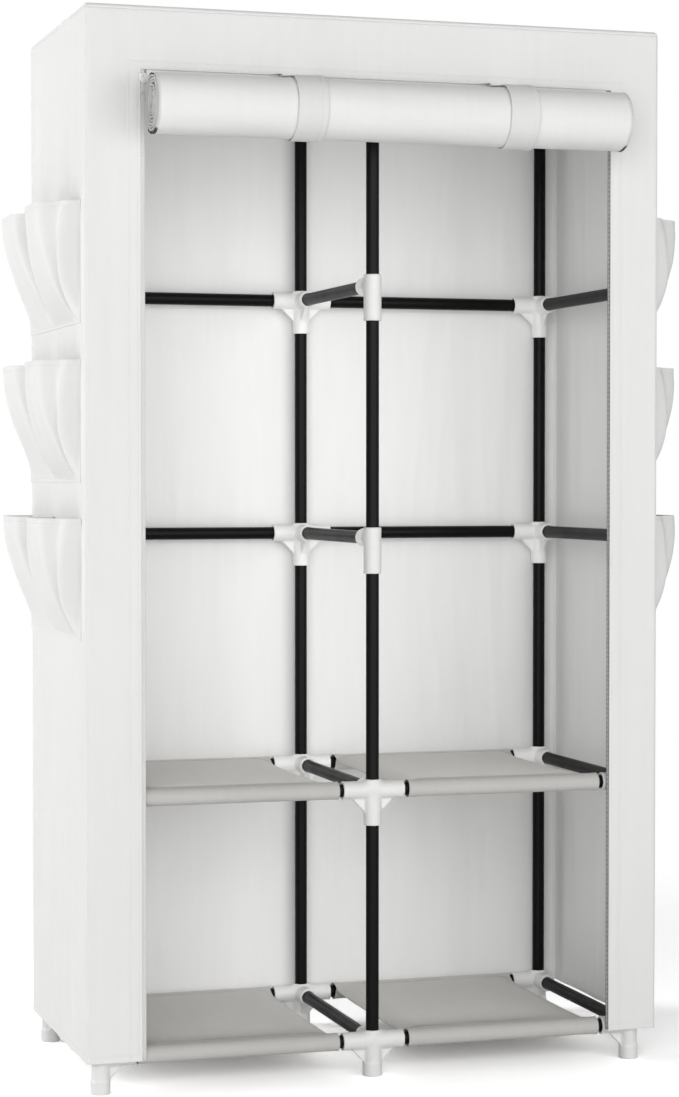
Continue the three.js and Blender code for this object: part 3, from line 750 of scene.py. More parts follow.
@dataclass
class TubeFrame(Assembly):
    """Painted steel tubes, pushed into the moulded connectors."""

    radius: float = 10.0 * MM
    wall: float = 0.5 * MM
    end_edge: float = 0.25 * MM
    sides: int = 40
    stop_gap: float = 1.0 * MM
    socket_floor: float = 14.8 * MM

    def tube(self, axis: int, start: float, end: float, centre: Values) -> Skin:
        """A hollow tube: a closed profile of its wall, with softened ends, turned about its axis."""
        inside, outside, edge = self.radius - self.wall, self.radius, self.end_edge
        profile = np.array([
            [inside, start + edge], [inside + edge, start], [outside - edge, start], [outside, start + edge],
            [outside, start + 4 * edge], [outside, end - 4 * edge],
            [outside, end - edge], [outside - edge, end], [inside + edge, end], [inside, end - edge],
        ])
        return lathe(profile, axis, centre, self.sides)

    def uprights(self) -> None:
        """Four tube lengths for each upright, from the foot to the cap, meeting inside the connectors."""
        levels = self.layout.levels
        for row, row_name in enumerate(self.layout.ROW_NAMES):
            for column, column_name in enumerate(self.layout.COLUMN_NAMES):
                node = f"upright_{row_name}_{column_name}"
                low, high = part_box(node)
                ends = [low[2], *levels[1:-1], high[2]]
                for part in range(len(ends) - 1):
                    start = ends[part] + (self.stop_gap if part else 0.0)
                    end = ends[part + 1] - (self.stop_gap if part < len(ends) - 2 else 0.0)
                    centre = (self.layout.columns[column], self.layout.rows[row], 0.0)
                    skin = self.tube(2, start, end, centre)
                    make_piece(f"{node}_tube_{part + 1}", skin, self.finishes.tube, [node])

    def side_tubes(self) -> None:
        """The tubes between neighbouring columns."""
        for level, height in enumerate(self.layout.levels):
            for row, row_name in enumerate(self.layout.ROW_NAMES):
                if not self.layout.has_side_tubes(level, row):
                    continue
                for bay_name in self.layout.BAY_NAMES:
                    node = f"{row_name}_tube_{bay_name}_level_{level}"
                    low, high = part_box(node)
                    skin = self.tube(0, low[0], high[0], (0.0, self.layout.rows[row], height))
                    make_piece(f"painted_{node}", skin, self.finishes.tube, [node])

    def depth_tubes(self) -> None:
        """The tubes from each front connector to the rear one."""
        front, rear = self.layout.rows
        for level, height in enumerate(self.layout.levels):
            for column, name in enumerate(self.layout.COLUMN_NAMES):
                centre = (self.layout.columns[column], 0.0, height)
                skin = self.tube(1, front + self.socket_floor, rear - self.socket_floor, centre)
                make_piece(f"depth_tube_{name}_level_{level}", skin, self.finishes.tube,
                           [f"connector_pair_{name}_level_{level}"])

    def build(self) -> None:
        """Builds all the tubes."""
        self.uprights()
        self.side_tubes()
        self.depth_tubes()


class ConnectorKind(Enum):
    """Where on its upright a connector sits."""

    FOOT = "foot"
    MIDDLE = "middle"
    TOP = "top"


@dataclass
class Connectors(Assembly):
    """Moulded corner connectors, each a blend of sleeves and webs with bored sockets.

    A connector is the zero level of a distance field in millimetres: capped cylinders and thin webs,
    blended by a smooth minimum, less the bores. Its mesh has one point in each cell that the level crosses.
    """

    sleeve: float = 13.65
    above: float = 16.5
    below: float = 55.5
    side_reach: float = 49.0
    depth_reach: float = 44.0
    bore: float = 10.25
    socket_floor: float = 14.5
    cap: float = 3.0
    web_reach: float = 33.0
    web_thickness: float = 6.0
    foot_radius: float = 14.7
    foot_height: float = 20.0
    foot_floor: float = 5.0
    collar_height: float = 4.0
    collar_proud: float = 0.5
    edge: float = 0.9
    fillet: float = 3.0
    step: float = 1.72
    shapes: dict[tuple, Skin] = field(default_factory=dict)

    @staticmethod
    def capsule(points: Array, axis: int, radius: float, start: float, end: float, edge: float) -> Array:
        """Distance to a capped cylinder along an axis, with its rims rounded to an edge radius."""
        others = [index for index in range(3) if index != axis]
        radial = np.hypot(points[..., others[0]], points[..., others[1]]) - (radius - edge)
        beyond = np.maximum(start + edge - points[..., axis], points[..., axis] - (end - edge))
        outside = np.hypot(np.maximum(radial, 0), np.maximum(beyond, 0))
        return outside + np.minimum(np.maximum(radial, beyond), 0) - edge

    def web(self, points: Array, along: int, sense: int) -> Array:
        """Distance to the triangular web under a socket, between two planes and a sloping edge."""
        out = points[..., along] * sense
        side = points[..., 1 - along]
        up = points[..., 2]
        slope = (out - up - (self.sleeve + self.web_reach)) / math.sqrt(2)
        faces = [slope, np.abs(side) - self.web_thickness / 2, -out, up, out - self.web_reach]
        return np.maximum.reduce(faces) - self.edge / 2

    def blend(self, first: Array, second: Array) -> Array:
        """The smaller of two distances, rounded off over the fillet where they are close."""
        near = np.maximum(self.fillet - np.abs(first - second), 0) / self.fillet
        return np.minimum(first, second) - near * near * self.fillet / 4

    def distance(self, points: Array, kind: ConnectorKind, sides: tuple[int, ...]) -> Array:
        """Distance to one connector's surface, negative inside the plastic."""
        floor = -(self.layout.levels[0] / MM)
        low = floor if kind is ConnectorKind.FOOT else -self.below
        body = self.capsule(points, 2, self.sleeve, low, self.above, self.edge)
        arms = [(1, 1, self.depth_reach)] + [(0, side, self.side_reach) for side in sides]
        for axis, sense, reach in arms:
            ends = sorted((0.0, sense * reach))
            body = self.blend(body, self.capsule(points, axis, self.sleeve, *ends, self.edge))
            body = self.blend(body, self.web(points, axis, sense))
        for axis, sense, reach in arms:
            ends = sorted((sense * (reach - self.collar_height), sense * reach))
            collar = self.capsule(points, axis, self.sleeve + self.collar_proud, *ends, self.collar_proud)
            body = np.minimum(body, collar)
        if kind is ConnectorKind.FOOT:
            foot = self.capsule(points, 2, self.foot_radius, floor, floor + self.foot_height, self.edge)
            body = self.blend(body, foot)
        upper_end = self.above - self.cap if kind is ConnectorKind.TOP else self.above + self.cap
        lower_end = floor + self.foot_floor if kind is ConnectorKind.FOOT else low - self.cap
        bores = [(2, lower_end, -1.0), (2, 1.0, upper_end)]
        bores += [(axis, *sorted((sense * self.socket_floor, sense * (reach + self.cap))))
                  for axis, sense, reach in arms]
        for axis, start, end in bores:
            body = np.maximum(body, -self.capsule(points, axis, self.bore, start, end, 0.1))
        return body

    def slope(self, points: Array, kind: ConnectorKind, sides: tuple[int, ...], reach: float = 0.05) -> Array:
        """The field's gradient, from differences over a reach on both sides."""
        parts = []
        for axis in range(3):
            shift = np.zeros(3)
            shift[axis] = reach
            rise = self.distance(points + shift, kind, sides) - self.distance(points - shift, kind, sides)
            parts.append(rise / (2 * reach))
        return np.stack(parts, axis=-1)

    @staticmethod
    def cell_points(nodes: Array, value: Array) -> tuple[Array, Array]:
        """The mean of the places where the zero level crosses the edges of each cell.

        Args:
            nodes: the places of the grid's nodes.
            value: the field at each node.

        Returns:
            Which cells the level crosses, and a point for each of those.
        """
        def at(corner: Array) -> tuple[slice, ...]:
            """The slices of the nodes that are this corner of their cells."""
            return tuple(slice(c, n - 1 + c) for c, n in zip(corner, value.shape))

        total, hits = 0.0, 0.0
        for first in np.ndindex(2, 2, 2):
            for axis in range(3):
                if first[axis]:
                    continue
                second = np.array(first) + np.eye(3, dtype=int)[axis]
                start, end = value[at(first)], value[at(second)]
                crossed = (start < 0) != (end < 0)
                share = np.where(crossed, start / np.where(crossed, start - end, 1.0), 0.0)
                place = nodes[at(first)] + share[..., None] * (nodes[at(second)] - nodes[at(first)])
                total = total + crossed[..., None] * place
                hits = hits + crossed
        active = hits > 0
        return active, total[active] / hits[active][:, None]

    @staticmethod
    def cell_quads(value: Array, active: Array) -> Array:
        """A quad for each grid edge that the zero level crosses, from the points of its four cells."""
        number = np.full(active.shape, -1)
        number[active] = np.arange(active.sum())
        faces = []
        for axis in range(3):
            second, third = (axis + 1) % 3, (axis + 2) % 3
            inner = [slice(1, count - 1) for count in value.shape]
            inner[axis] = slice(0, value.shape[axis] - 1)
            beyond = list(inner)
            beyond[axis] = slice(1, value.shape[axis])
            start, end = value[tuple(inner)] < 0, value[tuple(beyond)] < 0
            where = np.argwhere(start != end)
            leaves = start[tuple(where.T)]
            ring = []
            for step_second, step_third in ((0, 0), (1, 0), (1, 1), (0, 1)):
                cell = where.copy()
                cell[:, second] += step_second
                cell[:, third] += step_third
                ring.append(number[tuple(cell.T)])
            quads = np.stack(ring, axis=1)
            faces.append(np.where(leaves[:, None], quads, quads[:, ::-1]))
        return np.concatenate(faces)

    def on_level(self, points: Array, kind: ConnectorKind, sides: tuple[int, ...]) -> Array:
        """Moves points onto the zero level along the gradient, in three moves of half a cell at most."""
        for _ in range(3):
            gradient = self.slope(points, kind, sides)
            move = self.distance(points, kind, sides)[:, None] * gradient
            move /= np.maximum((gradient ** 2).sum(-1, keepdims=True), 0.2)
            points = points - np.clip(move, -self.step / 2, self.step / 2)
        return points

    def shape(self, kind: ConnectorKind, sides: tuple[int, ...]) -> Skin:
        """Meshes each kind of connector once, with its depth socket along +Y and its foot on the floor."""
        if (kind, sides) not in self.shapes:
            margin = 3 * self.step
            floor = self.layout.levels[0] / MM
            low = np.array([-self.side_reach, -self.foot_radius, -max(self.below, floor)]) - margin
            high = np.array([self.side_reach, self.depth_reach, self.above]) + margin
            counts = np.ceil((high - low) / self.step).astype(int) + 1
            axes = [start + self.step * np.arange(count) for start, count in zip(low, counts)]
            nodes = np.stack(np.meshgrid(*axes, indexing="ij"), axis=-1)
            value = self.distance(nodes, kind, sides)
            active, points = self.cell_points(nodes, value)
            points = self.on_level(points, kind, sides)
            points[:, 2] = np.maximum(points[:, 2], -floor)
            self.shapes[kind, sides] = Skin(points, self.cell_quads(value, active))
        return self.shapes[kind, sides]

    def build(self) -> None:
        """Places one connector at each crossing of an upright and a level."""
        last = len(self.layout.levels) - 1
        for level, height in enumerate(self.layout.levels):
            kind = {0: ConnectorKind.FOOT, last: ConnectorKind.TOP}.get(level, ConnectorKind.MIDDLE)
            for column, column_name in enumerate(self.layout.COLUMN_NAMES):
                for row, row_name in enumerate(self.layout.ROW_NAMES):
                    arms = (-1, 1) if column == 1 else (1,)
                    sides = arms if self.layout.has_side_tubes(level, row) else ()
                    across = -1 if column == 2 else 1
                    inward = 1 if row == 0 else -1
                    place = (self.layout.columns[column], self.layout.rows[row], height)
                    skin = self.shape(kind, sides).placed((across * MM, inward * MM, MM), place)
                    make_piece(f"connector_{row_name}_{column_name}_level_{level}", skin,
                               self.finishes.connector,
                               [f"connector_pair_{column_name}_level_{level}"])


# Cloth shelves


@dataclass
class Shelves(Assembly):
    """Grey cloth decks, each hung between two sleeves that are folded round the side tubes and sewn."""

    sleeve_radius: float = 12.6 * MM
    cloth: float = 0.9 * MM
    sleeve_inset: float = 56.0 * MM
    deck_inset: float = 57.0 * MM
    sag: float = 3.0 * MM
    droop: float = 9.0 * MM
    droop_width: float = 30.0 * MM
    seam_in: float = 17.0 * MM
    flap: float = 6.0 * MM
    taper: float = 16.0 * MM
    flare: float = 0.8 * MM
    ripple: float = 0.55 * MM
    wrapped: float = 78.0 * MM

    FLAP_POINTS = 3
    ARC_POINTS = 30

    def section(self, share: Array) -> Array:
        """How far the deck sags at a share of its span: 1 - (2 share - 1)², times the sag."""
        return -self.sag * (1 - (2 * share - 1) ** 2)

    def edge_drop(self, inward: Array, into: Array) -> Array:
        """How far a free side edge hangs down, by the distance from that edge and from the nearer sleeve."""
        near = np.clip(1 - inward / self.droop_width, 0, 1) ** 1.6
        return self.droop * near * smooth_step(into, 4 * MM, self.droop_width)

    def half_path(self, span: float) -> Array:
        """The front half of the section: flap, seam, round the tube from below, and half the deck."""
        radius = self.sleeve_radius
        seam = np.array([self.seam_in, radius + self.section(self.seam_in / span) - 1.6 * self.cloth])
        reach = math.hypot(*seam)
        start = math.atan2(seam[1], seam[0]) - math.acos(radius / reach)
        angles = np.linspace(start, -1.5 * math.pi, self.ARC_POINTS)
        arc = np.column_stack([np.cos(angles), np.sin(angles)]) * radius
        flap = seam + np.array([[self.flap, 0.0], [self.flap / 2, 0.0], [0.0, 0.0]])
        into = np.concatenate([[1.5, 4, 7, 11, 15, 17, 19, 24, 32], np.arange(44, span / 2 / MM, 12)]) * MM
        deck = np.column_stack([into, radius + self.section(into / span)])
        return np.concatenate([flap, arc, deck])

    def skin(self, bay: int, level: int) -> Skin:
        """The whole cloth of one shelf: its section carried across the bay, narrower along the deck."""
        front, rear = self.layout.rows
        span = rear - front
        half = self.half_path(span)
        middle = np.array([[span / 2, self.sleeve_radius - self.sag]])
        back = half[::-1].copy()
        back[:, 0] = span - back[:, 0]
        path = np.concatenate([half, middle, back])
        far = lengths_along(path)
        centre, bay_half = self.layout.bay(bay)
        into = np.minimum(path[:, 0], span - path[:, 0])
        narrowing = smooth_step(into, 3 * MM, self.taper)
        width = bay_half - self.sleeve_inset - (self.deck_inset - self.sleeve_inset) * narrowing
        across = np.linspace(-0.84, 0.84, 43)
        across = np.concatenate([[-1, -0.985, -0.95, -0.9], across, [0.9, 0.95, 0.985, 1]])
        draw = np.random.default_rng(100 + 10 * bay + level)
        x = width[:, None] * across[None]
        ripple = np.zeros_like(x)
        for _ in range(9):
            length = draw.uniform(0.05, 0.22)
            phase = draw.uniform(0, math.tau)
            slant = draw.normal(0, 0.5)
            ripple += np.cos(math.tau * (x + slant * path[:, :1]) / length + phase) / 9
        outward = np.zeros_like(path)
        along = np.gradient(path, axis=0)
        outward[:, 0], outward[:, 1] = -along[:, 1], along[:, 0]
        outward = unit(outward)
        end_flare = self.flare * np.abs(across) ** 24
        lift = ripple * self.ripple * (0.4 + narrowing[:, None]) + end_flare[None] * (1 - narrowing[:, None])
        points = np.empty((*x.shape, 3))
        points[..., 0] = centre + x
        points[..., 1] = front + path[:, :1] + outward[:, :1] * lift
        points[..., 2] = self.layout.levels[level] + path[:, 1:] + outward[:, 1:] * lift
        free = np.where(np.arange(len(path)) < self.FLAP_POINTS, self.seam_in, into)
        free[self.FLAP_POINTS:self.FLAP_POINTS + self.ARC_POINTS] = 0.0
        free = np.minimum(free, free[::-1])
        points[..., 2] -= self.edge_drop(width[:, None] - np.abs(x), free[:, None])
        uv = np.stack([x, np.broadcast_to(far[:, None], x.shape)], axis=-1)
        return grid(points, uv, turned=True)

    def seams(self, bay: int, level: int) -> Skin:
        """Two rows of stitches along each sleeve's seam, on top of the deck."""
        front, rear = self.layout.rows
        span = rear - front
        centre, bay_half = self.layout.bay(bay)
        half = bay_half - self.deck_inset - 2 * MM
        x = stations(centre - half, centre + half, 5 * MM)
        rows = []
        for into in (self.seam_in, self.seam_in + 3.5 * MM):
            for place in (into, span - into):
                height = self.sleeve_radius + self.section(place / span) + 0.62 * self.cloth
                drop = self.edge_drop(half + 2 * MM - np.abs(x - centre), np.full_like(x, into))
                y, z = np.full_like(x, front + place), self.layout.levels[level] + height - drop
                rows.append(Stitching().along(np.column_stack([x, y, z]), (0, 0, 1)))
        return joined(rows)

    def build(self) -> None:
        """Builds the four shelves with their seams."""
        front, rear = self.layout.rows
        for level in (0, 1):
            for bay, name in enumerate(self.layout.BAY_NAMES):
                node = f"shelf_{name}_level_{level}"
                deck = make_piece(f"cloth_{node}", self.skin(bay, level), self.finishes.shelf,
                                  [node], self.cloth, 0.0)
                thread = self.finishes.grey_thread
                seams = make_piece(f"seams_{node}", self.seams(bay, level), thread)
                width = 2 * self.layout.bay(0)[1] - 2 * self.sleeve_inset
                rear - front + 2 * self.wrapped


# Sewn cover


def corner_cut(path: Array, rounds: int = 2) -> Array:
    """Rounds the bends of a path: each pass puts points at a quarter and three quarters of every piece."""
    for _ in range(rounds):
        early = 0.75 * path[:-1] + 0.25 * path[1:]
        late = 0.25 * path[:-1] + 0.75 * path[1:]
        path = np.concatenate([path[:1], np.stack([early, late], 1).reshape(-1, path.shape[1]), path[-1:]])
    return path


def between(start: float, end: float, pitch: float, near_start: Values, near_end: Values) -> Array:
    """Places from start to end: given distances from both ends, and even steps of about a pitch between."""
    first = start + np.array(near_start)
    last = end - np.array(near_end)[::-1]
    return np.concatenate([first[:-1], stations(first[-1], last[0], pitch), last[1:]])


def groove(distance: Array, width: float) -> Array:
    """A bell of height 1 across a line: exp(-(distance / width)²)."""
    return np.exp(-(distance / width) ** 2)


@dataclass
class Cover(Assembly):
    """The sewn cover: five panels, inside out at their seams, hemmed at the floor and round the opening."""

    cloth: float = 0.9 * MM
    corner: float = 7.0 * MM
    seam_depth: float = 0.8 * MM
    seam_width: float = 1.1 * MM
    hem_band: float = 12.0 * MM
    hem_stitches: float = 9.6 * MM
    hem_proud: float = 0.45 * MM
    stitch_dip: float = 0.35 * MM
    stitch_dip_width: float = 0.9 * MM
    opening_band: float = 19.5 * MM
    band_proud: float = 0.75 * MM
    edge_backs: tuple[float, float] = mm(5.2, 2.4)
    opening_rows: tuple[float, float] = mm(4.0, 17.5)
    header_share: float = 0.62
    hem_wave: float = 0.8 * MM
    pitch_across: float = 4.0 * MM
    pitch_up: float = 13.4 * MM
    corner_steps: tuple[float, ...] = mm(0, 0.5, 1.2, 2.4, 4, 5.5, 7, 9.5)
    hem_steps: tuple[float, ...] = mm(0, 0.4, 1, 3, 6, 8.6, 9.6, 10.6, 11.4, 12.6, 13.6, 18)
    top_steps: tuple[float, ...] = mm(0, 0.6, 1.4, 3, 7)
    edge_steps: tuple[float, ...] = mm(
        0, 0.3, 0.8, 1.6, 3, 4, 5, 7, 10, 13.5, 16.5, 17.5, 18.5, 19, 20, 22, 26,
    )
    strap_places: tuple[float, ...] = ()
    edge_raise: float = 2.5 * MM
    edge_forward: float = 0.3 * MM
    edge_run: float = 21.0 * MM
    rim_heights: tuple[float, ...] = (0.860, 1.097, 1.334)
    rim_dent: float = 3.0 * MM
    top_sag: float = 3.4 * MM
    cap_reach: float = 0.06
    turned_in: float = 10.0 * MM

    @property
    def opening(self) -> tuple[float, float]:
        """Where the cloth ends left and right of the opening: the zips stick out beyond it."""
        return self.layout.opening_left - self.edge_backs[0], self.layout.opening_right + self.edge_backs[1]

    def rounded(self, sharp: Array, lift: Array) -> Array:
        """Rounds the box's edges: from the nearest place in a box that is smaller by the corner radius,
        each point goes outwards by the corner radius and its lift."""
        lay, r = self.layout, self.corner
        low = np.array([lay.left + r, lay.front + r, -1.0])
        high = np.array([lay.right - r, lay.rear - r, lay.top - r])
        core = np.clip(sharp, low, high)
        return core + unit(sharp - core) * (r + lift[..., None])

    def from_seam(self, place: Array, low: float, high: float) -> Array:
        """How far along the cloth a place is from the nearest upright seam, round the corner's arc."""
        r = self.corner
        flat = np.minimum(place - low, high - place)
        arc = r * (math.pi / 4 - np.arctan2(r - flat, r))
        return np.where(flat < r, arc, r * math.pi / 4 + flat - r)

    def hem_relief(self, up: Array, across: Array) -> Array:
        """The doubled hem at the floor, with its stitch line and the slight waves of a hanging edge."""
        band = self.hem_proud * (1 - smooth_step(up, self.hem_band - 0.8 * MM, self.hem_band + 0.8 * MM))
        line = self.stitch_dip * groove(up - self.hem_stitches, self.stitch_dip_width)
        fold = 0.4 * MM * groove(up, 0.5 * MM)
        wave = self.hem_wave * np.sin(across / 0.031 + 3 * np.sin(across / 0.09)) * np.exp(-up / 0.07)
        return band - line - fold + wave

    def panel_lift(self, name: str, a: Array, z: Array) -> Array:
        """How far an upright panel stands out of its plane: its folds, its hem and its sunken seams."""
        lay = self.layout
        depths = (lay.front, lay.rear)
        low, high = (lay.left, lay.right) if name == "back" else depths
        folds = {"left": Creases(11, 46, span=depths), "right": Creases(12, 46, span=depths),
                 "back": Creases(13, 150, length=(0.08, 0.5))}[name]
        seam = self.from_seam(a, low, high)
        under_top = lay.top - self.corner - z
        fade = smooth_step(seam, 0.0, 25 * MM) * smooth_step(under_top, 0.0, 40 * MM)
        lift = folds.height(a, z) * fade + self.hem_relief(z - lay.hem, a)
        if name != "back":
            pull = sum(groove(z - rim, 13 * MM) for rim in self.rim_heights)
            lift = lift - self.rim_dent * pull * groove(a - lay.front - 62 * MM, 30 * MM)
        return lift - self.sunken(seam, under_top)

    def sunken(self, seam: Array, under_top: Array) -> Array:
        """The valley along the upright seams and the seam under the top."""
        return self.seam_depth * np.maximum(groove(seam, self.seam_width), groove(under_top, self.seam_width))

    def panel(self, name: str, axis: int, at: float, sense: int) -> Skin:
        """One upright panel of the box.

        Args:
            name: "left", "right" or "back".
            axis: 0 for a side wall, 1 for the back.
            at: where its plane lies on that axis.
            sense: which way its columns run, so that its faces turn outwards.

        Returns:
            The panel's outer face, from seam to seam.
        """
        lay = self.layout
        low, high = (lay.front, lay.rear) if axis == 0 else (lay.left, lay.right)
        across = between(low, high, self.pitch_across, self.corner_steps, self.corner_steps)
        up = between(lay.hem, lay.top - self.corner, self.pitch_up, self.hem_steps, self.top_steps)
        if sense < 0:
            across = across[::-1]
        a, z = np.meshgrid(across, up)
        sharp = np.empty((*a.shape, 3))
        sharp[..., axis], sharp[..., 1 - axis], sharp[..., 2] = at, a, z
        return grid(self.rounded(sharp, self.panel_lift(name, a, z)), np.stack([a, z], axis=-1))

    def top_panel(self) -> Skin:
        """The top, which turns down to its seam over a quarter round on all four sides.

        Each corner is part of a ball: a point's tilt is the larger of its two shares of the quarter turn,
        and its heading goes evenly round with the smaller one. The middle sags between the upright caps.
        """
        lay, r = self.layout, self.corner
        turn = np.array([1.0, 0.93, 0.84, 0.7, 0.5, 0.25, 0.0])

        def line(low: float, high: float) -> tuple[Array, Array]:
            """Places inside the corners and the signed share of the quarter turn at each."""
            inner = stations(low + r, high - r, 7 * MM)[1:-1]
            place = np.concatenate([np.full(7, low + r), inner, np.full(7, high - r)])
            return place, np.concatenate([-turn, np.zeros(len(inner)), turn[::-1]])

        (x, a), (y, b) = line(lay.left, lay.right), line(lay.front, lay.rear)
        x, y = np.meshgrid(x, y)
        a, b = np.meshgrid(a, b)
        large = np.maximum(np.abs(a), np.abs(b))
        small = np.minimum(np.abs(a), np.abs(b)) / np.maximum(large, 1e-9)
        heading = np.where(np.abs(a) >= np.abs(b), small, 2 - small) * math.pi / 4
        tilt = large * math.pi / 2
        normal = np.stack([
            np.sin(tilt) * np.cos(heading) * np.sign(a),
            np.sin(tilt) * np.sin(heading) * np.sign(b),
            np.cos(tilt),
        ], axis=-1)
        rim = np.minimum(np.minimum(x - lay.left, lay.right - x), np.minimum(y - lay.front, lay.rear - y)) - r
        sag = smooth_step(rim, 0, 50 * MM) * self.top_sag
        for column in lay.columns:
            for row in lay.rows:
                sag = sag * (1 - np.exp(-((x - column) ** 2 + (y - row) ** 2) / self.cap_reach ** 2))
        creases = Creases(seed=41, count=26, depth=0.6 * MM, swell=0.8 * MM, rise=(-0.17, 0.27)).height(x, y)
        lift = creases * smooth_step(rim, 0, 30 * MM) * 0.6 - sag
        lift = lift - self.seam_depth * groove((1 - large) * r * math.pi / 2, self.seam_width)
        points = np.stack([x, y, np.full_like(x, lay.top - r)], axis=-1) + normal * (r + lift[..., None])
        return grid(points, np.stack([x + a * r, y + b * r], axis=-1))

    def edge_gape(self, x: Array) -> Array:
        """How open the header's lower edge gapes left of each strap: from 0, evenly to 1 at the strap."""
        gape = np.zeros_like(x)
        for place in self.strap_places:
            gape = gape + np.clip(1 - (place - x) / self.edge_run, 0, 1) * (x < place + 0.2 * MM)
        return gape

    def border_face(self, x: Array, z: Array) -> Array:
        """Points of the front panel's outer face: creased, and thicker in the band round the opening."""
        lay = self.layout
        beside = np.maximum(self.opening[0] - x, x - self.opening[1])
        from_edge = np.maximum(beside, (z - lay.opening_top) / self.header_share)
        seam = self.from_seam(x, lay.left, lay.right)
        under_top = lay.top - self.corner - z
        fade = smooth_step(seam, 0.0, 22 * MM) * smooth_step(under_top, 0.0, 20 * MM)
        fade = fade * (0.25 + 0.75 * smooth_step(from_edge, 10 * MM, 40 * MM))
        past_band = smooth_step(from_edge, self.opening_band - 0.6 * MM, self.opening_band + 0.6 * MM)
        band = self.band_proud * (1 - past_band)
        lines = 1.4 * sum(groove(from_edge - row, self.stitch_dip_width) for row in self.opening_rows)
        pucker = 0.14 * MM * np.sin((x + z) / (2.3 * MM)) * (1 - smooth_step(from_edge, 18 * MM, 34 * MM))
        roll = 0.8 * MM * groove(from_edge, 0.6 * MM)
        lift = Creases(seed=21, count=60, depth=0.6 * MM, swell=0.9 * MM).height(x, z) * fade
        lift = lift + band - self.stitch_dip * lines + pucker - roll + self.hem_relief(z - lay.hem, x)
        lift = lift - self.sunken(seam, under_top)
        points = self.rounded(np.stack([x, np.full_like(x, lay.front), z], axis=-1), lift)
        gape = self.edge_gape(x) * (beside < 0) * np.exp(-np.abs(z - lay.opening_top) / (6 * MM))
        points[..., 1] -= self.edge_forward * gape
        points[..., 2] += self.edge_raise * gape
        return points

    def border(self) -> Skin:
        """Header and jambs in one panel, cut out for the door."""
        lay = self.layout
        edge_left, edge_right = self.opening
        left = between(lay.left, edge_left, self.pitch_across, self.corner_steps, self.edge_steps)
        middle = stations(edge_left, edge_right, 2.4 * MM)[1:-1]
        right = between(edge_right, lay.right, self.pitch_across, self.edge_steps, self.corner_steps)
        below = between(lay.hem, lay.opening_top, self.pitch_up, self.hem_steps, mm(0, 2, 6))
        header_steps = tuple(step * self.header_share for step in self.edge_steps)
        above = between(lay.opening_top, lay.top - self.corner, 4 * MM, header_steps, self.top_steps)[1:]
        x, z = np.meshgrid(np.concatenate([left, middle, right]), np.concatenate([below, above]))
        open_x = (x[:-1, :-1] > edge_left - 1e-6) & (x[:-1, 1:] < edge_right + 1e-6)
        open_z = z[1:, 1:] < lay.opening_top + 1e-6
        return tidy(grid(self.border_face(x, z), np.stack([x, z], axis=-1), keep=~(open_x & open_z)))

    def border_stitches(self) -> Skin:
        """Two rows round the opening and one along each jamb's hem."""
        lay = self.layout
        rows = []
        for from_edge in self.opening_rows:
            left, right = self.opening[0] - from_edge, self.opening[1] + from_edge
            top = lay.opening_top + from_edge * self.header_share
            x = np.concatenate([np.full(200, left), np.linspace(left, right, 400), np.full(200, right)])
            up = np.linspace(lay.hem + 1 * MM, top, 200)
            z = np.concatenate([up, np.full(400, top), up[::-1]])
            rows.append(Stitching().along(self.border_face(x, z), (0, -1, 0)))
        for low, high in ((lay.left, lay.opening_left), (lay.opening_right, lay.right)):
            x = np.linspace(low + 8 * MM, high - 2 * MM, 30)
            path = self.border_face(x, np.full(30, lay.hem + self.hem_stitches))
            rows.append(Stitching().along(path, (0, -1, 0)))
        return joined(rows)

    def hem_row(self, axis: int, at: float, skin: Skin, outward: Values) -> Skin:
        """The stitches of one panel's hem, on the panel's own face."""
        height = self.layout.hem + self.hem_stitches
        on_line = np.abs(skin.points[:, 2] - height) < 0.1 * MM
        path = skin.points[on_line]
        path = path[np.argsort(path[:, 1 - axis])]
        flat = np.abs(path[:, axis] - at) < 3 * MM
        return Stitching().along(path[flat], outward)

    def build(self) -> None:
        lay, cloth, thread = self.layout, self.finishes.cover, self.finishes.thread
        height = lay.top - lay.hem
        width, depth = lay.right - lay.left, lay.rear - lay.front
        turned_in = 2 * self.turned_in
        for name, axis, at, sense, outward, across in (
            ("left", 0, lay.left, -1, (-1, 0, 0), depth), ("right", 0, lay.right, 1, (1, 0, 0), depth),
            ("back", 1, lay.rear, -1, (0, 1, 0), width),
        ):
            skin = self.panel(name, axis, at, sense)
            piece = make_piece(f"cloth_cover_{name}", skin, cloth, [f"cover_{name}"], self.cloth)
            row = self.hem_row(axis, at, skin, outward)
            sewn = make_piece(f"hem_stitches_{name}", row, thread)
            across + turned_in
            height + self.hem_band
        top = make_piece("cloth_cover_top", self.top_panel(), cloth, ["cover_top"], self.cloth)
        width + turned_in
        depth + turned_in
        border = make_piece("cloth_cover_front_border", self.border(), cloth,
                            ["cover_front_border"], self.cloth)
        sewn = make_piece("border_stitches", self.border_stitches(), thread)
        band = self.opening_band
        open_width = lay.opening_right - lay.opening_left - 2 * band
        open_height = lay.opening_top - lay.hem - band * self.header_share
        flat = (width + turned_in, height + self.hem_band)
        flat[0] * flat[1] - open_width * open_height


# Zips


